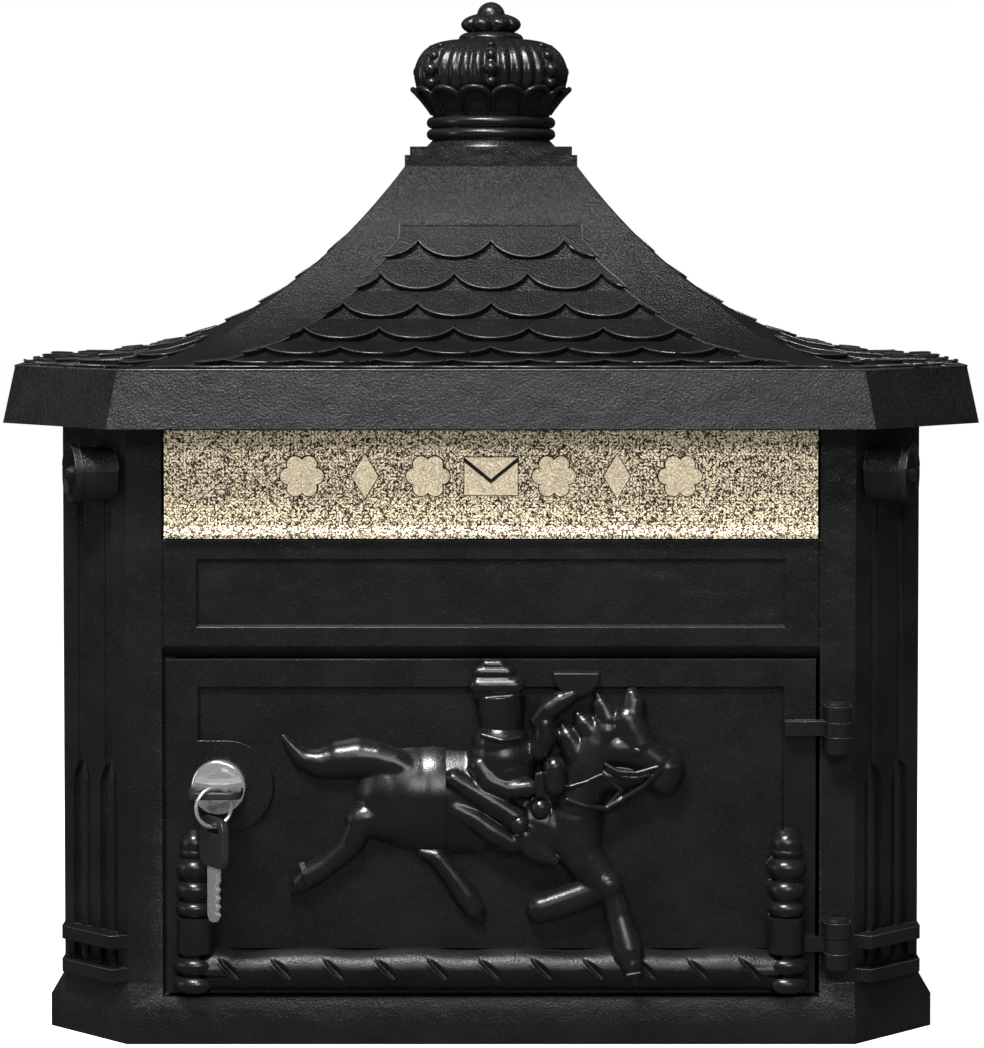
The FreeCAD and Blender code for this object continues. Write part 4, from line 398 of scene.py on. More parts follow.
@contextmanager
def editing(item: Piece, whole: bool = False) -> Iterator[None]:
    """Opens an object in edit mode and closes it afterwards.

    Args:
        item: The object.
        whole: Whether all of its mesh is selected first.
    """
    choose(item)
    bpy.ops.object.mode_set(mode="EDIT")
    if whole:
        bpy.ops.mesh.select_all(action="SELECT")
    yield
    bpy.ops.object.mode_set(mode="OBJECT")


def slice_off(item: Piece, spot: Vector, facing: Triple) -> None:
    """Cuts away all that lies beyond a plane, in the direction that it faces, and closes the cut."""
    with editing(item, True):
        bpy.ops.mesh.bisect(plane_co=spot, plane_no=facing, use_fill=True, clear_outer=True)


def within(spot: Vector, box: Box, slack: float = 0.0) -> bool:
    """Tells whether a point lies in a box, or nearer to it than a slack along each axis."""
    return all(box[0][i] - slack < spot[i] < box[1][i] + slack for i in range(3))


def link(item: Piece) -> Piece:
    """Puts a new object into the scene."""
    bpy.context.scene.collection.objects.link(item)
    return item


def twin(item: Piece) -> Piece:
    """Copies an object, with a mesh of its own.

    Args:
        item: The object.

    Returns:
        The copy.
    """
    made = item.copy()
    made.data = item.data.copy()
    return link(made)


def settle(item: Piece) -> Piece:
    """Moves an object's place, turn and scale into its mesh.

    Args:
        item: The object.

    Returns:
        The same object.
    """
    choose(item)
    bpy.ops.object.transform_apply(location=True, rotation=True, scale=True)
    return item


def join(items: Sequence[Piece], name: str) -> Piece:
    """Joins meshes into one named piece at the origin.

    Args:
        items: Objects to join.
        name: The piece's name.

    Returns:
        The joined object.
    """
    for item in items:
        settle(item)
    choose(*items)
    if len(items) > 1:
        bpy.ops.object.join()
    piece = bpy.context.object
    piece.name = name
    return piece


def modify(item: Piece, kind: str, **settings: object) -> None:
    """Adds a modifier and applies it.

    Args:
        item: The object.
        kind: The modifier's type.
        settings: Its properties.
    """
    choose(item)
    modifier = item.modifiers.new(kind.lower(), kind)
    for name, value in settings.items():
        setattr(modifier, name, value)
    bpy.ops.object.modifier_apply(modifier=modifier.name)


def smooth(item: Piece, degrees: float = 35.0) -> None:
    """Shades smooth up to an angle."""
    choose(item)
    bpy.ops.object.shade_smooth_by_angle(angle=math.radians(degrees), keep_sharp_edges=False)


def dress(item: Piece, material: Finish) -> None:
    """Gives an object one material.

    Args:
        item: The object.
        material: Its finish.
    """
    item.data.materials.clear()
    item.data.materials.append(material)
    for face in item.data.polygons:
        face.material_index = 0


def ball(centre: Vector, radius: float, stretch: Triple = (1, 1, 1), segments: int = 24,
         rings: int = 14) -> Piece:
    """Adds a sphere or ellipsoid.

    Args:
        centre: Its centre, in metres.
        radius: Its radius, in millimetres.
        stretch: Scale along each axis.
        segments: Faces round it.
        rings: Faces from pole to pole.

    Returns:
        The new object.
    """
    deselect()
    bpy.ops.mesh.primitive_uv_sphere_add(radius=radius * MM, location=centre, segments=segments,
                                         ring_count=rings)
    made = bpy.context.object
    made.scale = stretch
    return made


def cone(start: Vector, end: Vector, start_radius: float, end_radius: float, sides: int = 24) -> Piece:
    """Adds a cone frustum from one point to another.

    Args:
        start: First end, in metres.
        end: Second end, in metres.
        start_radius: Radius at the first end, in millimetres.
        end_radius: Radius at the second end, in millimetres.
        sides: Faces round it.

    Returns:
        The new object.
    """
    deselect()
    along = end - start
    bpy.ops.mesh.primitive_cone_add(vertices=sides, radius1=start_radius * MM, radius2=end_radius * MM,
                                    depth=along.length, location=(start + end) / 2)
    made = bpy.context.object
    made.rotation_mode = "QUATERNION"
    made.rotation_quaternion = UP.rotation_difference(along)
    return made


def turned(profile: Sequence[Pair], centre: Vector, steps: int = 96) -> Piece:
    """Spins a profile of radius and height about an upright axis.

    Args:
        profile: Radius and height pairs in millimetres, from the bottom up.
        centre: Foot of the axis, in metres.
        steps: Faces round it.

    Returns:
        The new object.
    """
    deselect()
    bpy.ops.mesh.primitive_plane_add(size=MM, location=(0, 0, 0))
    made = bpy.context.object
    with editing(made):
        mesh = bmesh.from_edit_mesh(made.data)
        bmesh.ops.delete(mesh, geom=mesh.verts[:], context="VERTS")
        points = [mesh.verts.new((radius * MM, 0.0, height * MM)) for radius, height in profile]
        for low, high in zip(points, points[1:]):
            mesh.edges.new((low, high))
        bmesh.update_edit_mesh(made.data)
        bpy.ops.mesh.select_all(action="SELECT")
        bpy.ops.mesh.spin(steps=steps, angle=2 * math.pi, center=(0, 0, 0), axis=(0, 0, 1))
        bpy.ops.mesh.select_all(action="SELECT")
        bpy.ops.mesh.remove_doubles(threshold=0.01 * MM)
        bpy.ops.mesh.normals_make_consistent(inside=False)
    made.location = centre
    return settle(made)


def bulge(low: Pair, high: Pair, swell: float, steps: int = 8) -> list[Pair]:
    """Points of a round bead between two points of a profile.

    Args:
        low: Start, radius and height.
        high: End, radius and height.
        swell: How far the middle stands out.
        steps: Number of edges.

    Returns:
        The points, ends included.
    """
    shares = [i / steps for i in range(steps + 1)]
    return [(low[0] + (high[0] - low[0]) * share + swell * math.sin(math.pi * share),
             low[1] + (high[1] - low[1]) * (0.5 - 0.5 * math.cos(math.pi * share))) for share in shares]


@dataclass(frozen=True)
class Draft:
    """A recess whose floor draws in, so that its walls slope."""

    low: Vector
    high: Vector
    drawn_mm: float = 1.1
    slack_mm: float = 0.2

    def apply(self, made: Piece) -> None:
        """Shrinks the floor's outline about the middle of the recess.

        Args:
            made: The casting.
        """
        span, drawn = self.high - self.low, 2 * self.drawn_mm * MM
        for vertex in made.data.vertices:
            vertex.select = within(vertex.co, (self.low, self.high), self.slack_mm * MM)
        with editing(made):
            bpy.ops.transform.resize(value=(1 - drawn / span.x, 1, 1 - drawn / span.z),
                                     center_override=(self.low + self.high) / 2)
            bpy.ops.mesh.select_all(action="DESELECT")


@dataclass
class EdgeBeads:
    """Thin round beads along a casting's upper outer edges, or its hollow ones: in the lighter worn coat
    partly wear and partly painted highlight, in a dark coat painted shade.
    """

    finish: Finish
    above: float
    radius_mm: float = 0.6
    below: float = 500.0
    sharp: float = 50.0
    longest_mm: float = 8.0
    plain: Pair = (0.0, 0.0)
    facing: Triple = (0, 0, 1)
    hollow: bool = False

    def wanted(self, ends: Sequence[Vector], first: bpy.types.MeshPolygon,
               second: bpy.types.MeshPolygon) -> bool:
        """Tells whether the edge between two faces is a high, sharp and outer one.

        Args:
            ends: The edge's two ends.
            first: The face on one side.
            second: The face on the other side.

        Returns:
            True for an edge that gets a bead.
        """
        height, length = min(end.z for end in ends) / MM + MOUNT_HEIGHT, (ends[0] - ends[1]).length
        level = abs(ends[0].z - ends[1].z) < 0.2 * MM
        ledge = length > self.longest_mm * MM and level and self.plain[0] < height < self.plain[1]
        behind = max(end.y for end in ends) > -1.0 * MM
        seen = max(face.normal.dot(Vector(self.facing)) for face in (first, second)) > 0.25
        outer = (second.center - ends[0]).dot(first.normal) < 0
        sharp = first.normal.angle(second.normal) > math.radians(self.sharp)
        sliver = min(first.area, second.area) < max(0.02 * MM, 0.06 * length) * MM
        return (self.above < height < self.below and not (ledge or behind or sliver) and seen and sharp
                and outer != self.hollow)

    def build(self, source: Piece) -> Piece:
        """Turns the wanted edges of a casting into beads.

        Args:
            source: The casting, its edges still sharp.

        Returns:
            The beads, as one mesh.
        """
        mesh = source.data
        sides: dict[tuple[int, int], list[bpy.types.MeshPolygon]] = {}
        for face in mesh.polygons:
            face.select = False
            for key in face.edge_keys:
                sides.setdefault(key, []).append(face)
        for vertex in mesh.vertices:
            vertex.select = False
        for edge in mesh.edges:
            faces, ends = sides.get(edge.key, []), [mesh.vertices[i] for i in edge.vertices]
            edge.select = len(faces) == 2 and self.wanted([end.co for end in ends], *faces)
            if edge.select:
                for end in ends:
                    end.select = True
        bpy.context.tool_settings.mesh_select_mode = (False, True, False)
        with editing(source):
            bpy.ops.mesh.duplicate()
            bpy.ops.mesh.separate(type="SELECTED")
            bpy.ops.mesh.select_mode(type="VERT")
        beads = next(made for made in bpy.context.selected_objects if made is not source)
        choose(beads)
        bpy.ops.object.convert(target="CURVE")
        beads = bpy.context.object
        beads.data.bevel_depth, beads.data.bevel_resolution = self.radius_mm * MM, 2
        beads.data.use_fill_caps = True
        bpy.ops.object.convert(target="MESH")
        beads = bpy.context.object
        smooth(beads, 60.0)
        dress(beads, self.finish)
        return beads


@dataclass
class CastCopy:
    """A cast piece like its CAD node, with the soft edges of a coated casting."""

    node: str
    finish: Finish
    slot: Slot
    body: Body
    edge_mm: float = 0.5
    segments: int = 4
    weld_mm: float = 0.005
    flat_degrees: float = 1.0
    rounded_degrees: float = 32.0
    # Edge beads: wear and painted highlight in the worn coat, painted shade in the dark one.
    rubbed_and_painted_light: EdgeBeads | None = None
    drafts: tuple[Draft, ...] = ()
    without: Box | None = None
    crease: float = 24.0
    polish: Finish | None = None
    polished: tuple[Box, ...] = ()

    def open(self, made: Piece) -> None:
        """Takes out the faces inside a box, where another piece covers them.

        Args:
            made: The copy.
        """
        for face in made.data.polygons:
            face.select = within(face.center, self.without)
        with editing(made):
            bpy.ops.mesh.select_mode(type="FACE")
            bpy.ops.mesh.delete(type="FACE")
            bpy.ops.mesh.select_mode(type="VERT")

    def shine(self, made: Piece) -> None:
        """Gives the faces in some boxes the smoother finish.

        Args:
            made: The copy.
        """
        made.data.materials.append(self.polish)
        for face in made.data.polygons:
            face.material_index = int(any(within(face.center, box) for box in self.polished))

    def build(self) -> Piece:
        """Copies the node's mesh, merges it, rounds its edges and dresses it.

        Returns:
            The dressed copy.
        """
        made = twin(frame["nodes"][self.node])
        made.name = f"cast_{self.node}"
        made.parent = None
        with editing(made, True):
            bpy.ops.mesh.remove_doubles(threshold=self.weld_mm * MM)
            bpy.ops.mesh.dissolve_limited(angle_limit=math.radians(self.flat_degrees))
            bpy.ops.mesh.select_all(action="DESELECT")
        bpy.ops.mesh.customdata_custom_splitnormals_clear()
        for draft in self.drafts:
            draft.apply(made)
        if self.without:
            self.open(made)
        beads = self.rubbed_and_painted_light.build(made) if self.rubbed_and_painted_light else None
        if self.edge_mm:
            modify(made, "BEVEL", width=self.edge_mm * MM, segments=self.segments, limit_method="ANGLE",
                   angle_limit=math.radians(self.rounded_degrees), use_clamp_overlap=True,
                   miter_outer="MITER_ARC")
        smooth(made, self.crease)
        modify(made, "WEIGHTED_NORMAL", keep_sharp=True, weight=80)
        dress(made, self.finish)
        if self.polish:
            self.shine(made)
        if beads:
            made = join([made, beads], made.name)
        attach(made, self.body)
        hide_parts(self.node)
        return made


@dataclass
class RopeRail:
    """The rope rail on the door: a wavy textured bar with lens-shaped slits."""

    finish: Finish
    half: float = 117.0
    out: float = 167.5
    height: float = 29.9
    radius: float = 8.25
    slits: int = 11
    slit_half: float = 7.2
    slit_gap: float = 1.45
    slit_depth: float = 1.5
    slit_reach: float = 2.2
    slit_front: float = 1.5
    lip_rise: float = 0.35
    lip_offset: float = 2.0
    lip_width: float = 0.8
    slant: float = math.radians(45.0)
    spread: float = math.radians(208.0)
    wave_mm: float = 0.55
    wave_length: float = 43.0
    grid: tuple[int, int] = (560, 44)

    def surface(self, along: float, angle: float) -> Vector:
        """A point of the rail's skin.

        Args:
            along: Distance from the rail's middle.
            angle: Angle from straight forward, upwards positive.

        Returns:
            The point.
        """
        radius = self.radius
        rise = radius * math.sin(angle) - 1.0
        span = 2 * (self.half - 1.0)
        for k in range(self.slits):
            from_middle = along - span * ((k + 0.5) / self.slits - 0.5)
            down = from_middle * math.sin(self.slant) - rise * math.cos(self.slant)
            across = from_middle * math.cos(self.slant) + rise * math.sin(self.slant)
            reach = 1.0 - (down / self.slit_half) ** 2
            if reach > 0 and abs(across) < self.slit_reach and abs(angle) < self.slit_front:
                gap = max(self.slit_gap * reach, 0.2)
                radius -= self.slit_depth * reach * max(0.0, 1.0 - (across / gap) ** 2)
                lip = math.exp(-((across + self.lip_offset) / self.lip_width) ** 2)
                radius += self.lip_rise * reach * lip
        lift = self.wave_mm * math.sin(2 * math.pi * along / self.wave_length) * max(0.0, math.sin(angle))
        up = self.height + radius * math.sin(angle) + lift
        return place(along, self.out + radius * math.cos(angle), up)

    def build(self) -> Piece:
        """Builds and dresses the rail.

        Returns:
            The rail.
        """
        deselect()
        bpy.ops.mesh.primitive_grid_add(x_subdivisions=self.grid[0], y_subdivisions=self.grid[1], size=1.0,
                                        location=(0, 0, 0))
        made = bpy.context.object
        made.name = "rope_rail"
        for vertex in made.data.vertices:
            vertex.co = self.surface(vertex.co.x * 2 * (self.half - 1.0), vertex.co.y * self.spread)
        with editing(made, True):
            bpy.ops.mesh.normals_make_consistent(inside=False)
        bpy.ops.object.shade_smooth()
        dress(made, self.finish)
        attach(made, "door")
        return made


@dataclass
class CrownFinial:
    """The crown on the roof: foot rings, petal cup, ribbed bulb with bead columns, collar and knob."""

    finish: Finish
    out: float = 35.0
    foot_height: float = 366.6
    ring_radius: float = 28.5
    bulb_radius: float = 34.0
    petal_count: int = 14
    cup_foot: float = 13.8
    cup_rise: float = 12.4
    bead_columns: int = 7
    ribs_per_column: int = 5
    rib_depth: float = 1.9

    def point(self, radius: float, angle: float, height: float) -> Vector:
        """A point about the crown's axis; the angle is from the front, in radians."""
        return place(radius * math.sin(angle), self.out + radius * math.cos(angle), self.foot_height + height)

    def axis(self, height: float = 0.0) -> Vector:
        """A point of the axis."""
        return place(0.0, self.out, self.foot_height + height)

    def foot(self) -> Piece:
        """Flared foot with two round rings and the cup's inner wall.

        Returns:
            The foot.
        """
        ring = self.ring_radius
        neck = ring - 2.6
        profile = [(0.0, 0.0), (ring, 0.0), (ring - 0.4, 1.0), (neck + 0.4, 2.9), (neck, 3.4)]
        profile += bulge((neck, 3.5), (neck, 8.5), 2.5) + bulge((neck, 8.6), (neck, 13.6), 2.5)
        profile += [(neck - 0.6, 14.0), (neck + 0.6, 15.6), (ring - 0.2, 18.5), (ring, 21.0), (0.0, 21.0)]
        return turned(profile, self.axis())

    def bulb(self) -> Piece:
        """The bulb, with a rib for each share of the bead columns.

        Returns:
            The bulb.
        """
        ribs = self.bead_columns * self.ribs_per_column
        profile = [(0.0, 15.0), (0.75, 16.0), (0.77, 17.5), (0.795, 19.0), (0.83, 21.0), (0.875, 23.0),
                   (0.93, 25.2), (0.965, 27.0), (0.985, 28.8), (0.998, 31.0), (1.0, 33.0), (0.993, 35.0),
                   (0.978, 36.8), (0.957, 38.6), (0.932, 40.2), (0.90, 41.8), (0.86, 43.2), (0.81, 44.5),
                   (0.75, 45.6), (0.67, 46.6), (0.56, 47.3), (0.42, 47.8), (0.0, 48.0)]
        made = turned([(share * self.bulb_radius, height) for share, height in profile], self.axis(),
                      ribs * 10)
        centre = self.axis()
        for vertex in made.data.vertices:
            across, deep = vertex.co.x - centre.x, vertex.co.y - centre.y
            radius = math.hypot(across, deep)
            angle = math.atan2(across, -deep)
            height = (vertex.co.z - centre.z) / MM
            fade = min(1.0, max(0.0, (radius / MM - 12.0) / 6.0)) * min(1.0, max(0.0, (height - 15.5) / 3.0))
            furrow = 1.0 - math.sqrt(1.0 - 0.97 * math.sin(ribs * angle / 2) ** 2)
            depth = self.rib_depth * MM * fade * furrow
            if radius > 1e-6:
                vertex.co.x = centre.x + across * (radius - depth) / radius
                vertex.co.y = centre.y + deep * (radius - depth) / radius
        return made

    def cup(self, rise: float) -> float:
        """Radius of the petal cup at a share of its height."""
        return 25.0 + 8.6 * rise ** 1.15

    def petal(self) -> Piece:
        """One leaf of the cup at the front: a dished blade with a thick rolled rim, leaning out.

        Returns:
            The leaf.
        """
        deselect()
        bpy.ops.mesh.primitive_grid_add(x_subdivisions=14, y_subdivisions=14, size=1.0, location=(0, 0, 0))
        made = bpy.context.object
        half_angle = math.pi / self.petal_count
        for vertex in made.data.vertices:
            side, rise = vertex.co.x * 2, vertex.co.y + 0.5
            outline = math.sqrt(max(0.0, 1.0 - max(0.0, (rise - 0.58) / 0.42) ** 2.4))
            wide = side * (0.84 + 0.16 * rise) * max(outline, 0.03)
            rim = max(abs(side) ** 4 * min(1.0, rise * 2.2), rise ** 8)
            radius = self.cup(rise) - 1.5 * (1 - rim) * rise + 0.8 * rim
            vertex.co = self.point(radius, wide * half_angle * 0.97, self.cup_foot + self.cup_rise * rise)
        modify(made, "SOLIDIFY", thickness=1.2 * MM, offset=0.0)
        return join([made, self.rim(half_angle)], "petal")

    def rim(self, half_angle: float) -> Piece:
        """The rolled rim of the petal at the front, a round rod along its edge.

        Args:
            half_angle: Half of a petal's share of the circle.

        Returns:
            The rim.
        """
        steps = 26
        turns = [math.pi * (i / steps) - math.pi / 2 for i in range(steps + 1)]
        arch = [(math.sin(turn), 0.58 + 0.42 * max(0.0, math.cos(turn)) ** (1 / 1.2)) for turn in turns]
        points = [(-1.0, 0.12), (-1.0, 0.34)] + arch + [(1.0, 0.34), (1.0, 0.12)]
        line = [self.point(self.cup(rise) + 0.8, side * (0.84 + 0.16 * rise) * half_angle * 0.93,
                           self.cup_foot + self.cup_rise * rise - 0.4) for side, rise in points]
        data = bpy.data.curves.new("petal_rim", "CURVE")
        data.dimensions, data.bevel_depth, data.bevel_resolution = "3D", 1.25 * MM, 3
        spline = data.splines.new("POLY")
        spline.points.add(len(line) - 1)
        for spot, point, (_, rise) in zip(spline.points, line, points):
            spot.co = (*point, 1.0)
            spot.radius = 0.45 + 0.55 * min(1.0, rise / 0.8)
        choose(link(bpy.data.objects.new("petal_rim", data)))
        bpy.ops.object.convert(target="MESH")
        return bpy.context.object

    def petals(self) -> list[Piece]:
        """The whole cup; a gap between two petals is at the front.

        Returns:
            The petals.
        """
        first = self.petal()
        leaves = []
        centre = self.axis()
        for k in range(self.petal_count):
            leaf = twin(first)
            turn = Matrix.Rotation(2 * math.pi * (k + 0.5) / self.petal_count, 4, "Z")
            leaf.data.transform(Matrix.Translation(centre) @ turn @ Matrix.Translation(-centre))
            leaves.append(leaf)
        bpy.data.objects.remove(first)
        return leaves

    def beads(self) -> list[Piece]:
        """Columns of four beads that shrink towards the top.

        Returns:
            The beads.
        """
        made = []
        sizes = ((2.4, -1.0, 28.0), (3.2, -0.6, 33.7), (2.4, -2.5, 39.6), (1.8, -6.0, 44.0))
        for k in range(self.bead_columns):
            angle = 2 * math.pi * k / self.bead_columns
            for radius, offset, height in sizes:
                sunk = 1.3 if abs(math.cos(angle)) < 0.4 else 0.0
                spot = self.point(self.bulb_radius + offset - sunk, angle, height)
                made.append(ball(spot, radius, segments=16, rings=10))
        return made

    def top(self) -> list[Piece]:
        """Neck ring, lobed collar and knob.

        Returns:
            The three.
        """
        neck = turned([(0.0, 45.6), (12.9, 46.2), (13.8, 46.9), (14.2, 47.9), (14.0, 48.9), (13.2, 49.8),
                       (11.6, 50.6), (0.0, 51.8)], self.axis(), 64)
        collar = ball(self.axis(54.2), 13.4, (1.0, 1.0, 0.40), 112, 40)
        settle(collar)
        centre = self.axis()
        for vertex in collar.data.vertices:
            across, deep = vertex.co.x - centre.x, vertex.co.y - centre.y
            angle = math.atan2(across, -deep)
            pinch = 1.0 - 0.2 * (1.0 - abs(math.sin(self.bead_columns * angle / 2)) ** 0.7)
            vertex.co.x, vertex.co.y = centre.x + across * pinch, centre.y + deep * pinch
        knob = ball(self.axis(58.2), 6.2, (1.0, 1.0, 0.98), 32, 20)
        return [neck, collar, knob]

    def build(self) -> Piece:
        """Builds, joins and dresses the crown.

        Returns:
            The crown.
        """
        parts = [self.foot(), self.bulb(), *self.petals(), *self.beads(), *self.top()]
        made = join(parts, "crown_finial")
        smooth(made, 50.0)
        dress(made, self.finish)
        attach(made, "case")
        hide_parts("finial")
        return made


@dataclass(frozen=True)
class Station:
    """A section of a limb of the relief, in millimetres: place, half width on the panel and rise off it."""

    across: float
    height: float
    half: float
    rise: float

    @property
    def radius(self) -> float:
        """Radius of the ball of which the section is a part; a wide, flat section is part of a large one."""
        return (self.half ** 2 + self.rise ** 2) / (2 * self.rise) if self.half > self.rise else self.half

    def centre(self, panel: float) -> Vector:
        """Centre of the ball, so that the limb rises that far off the panel."""
        return place(self.across, panel + self.rise - self.radius, self.height)


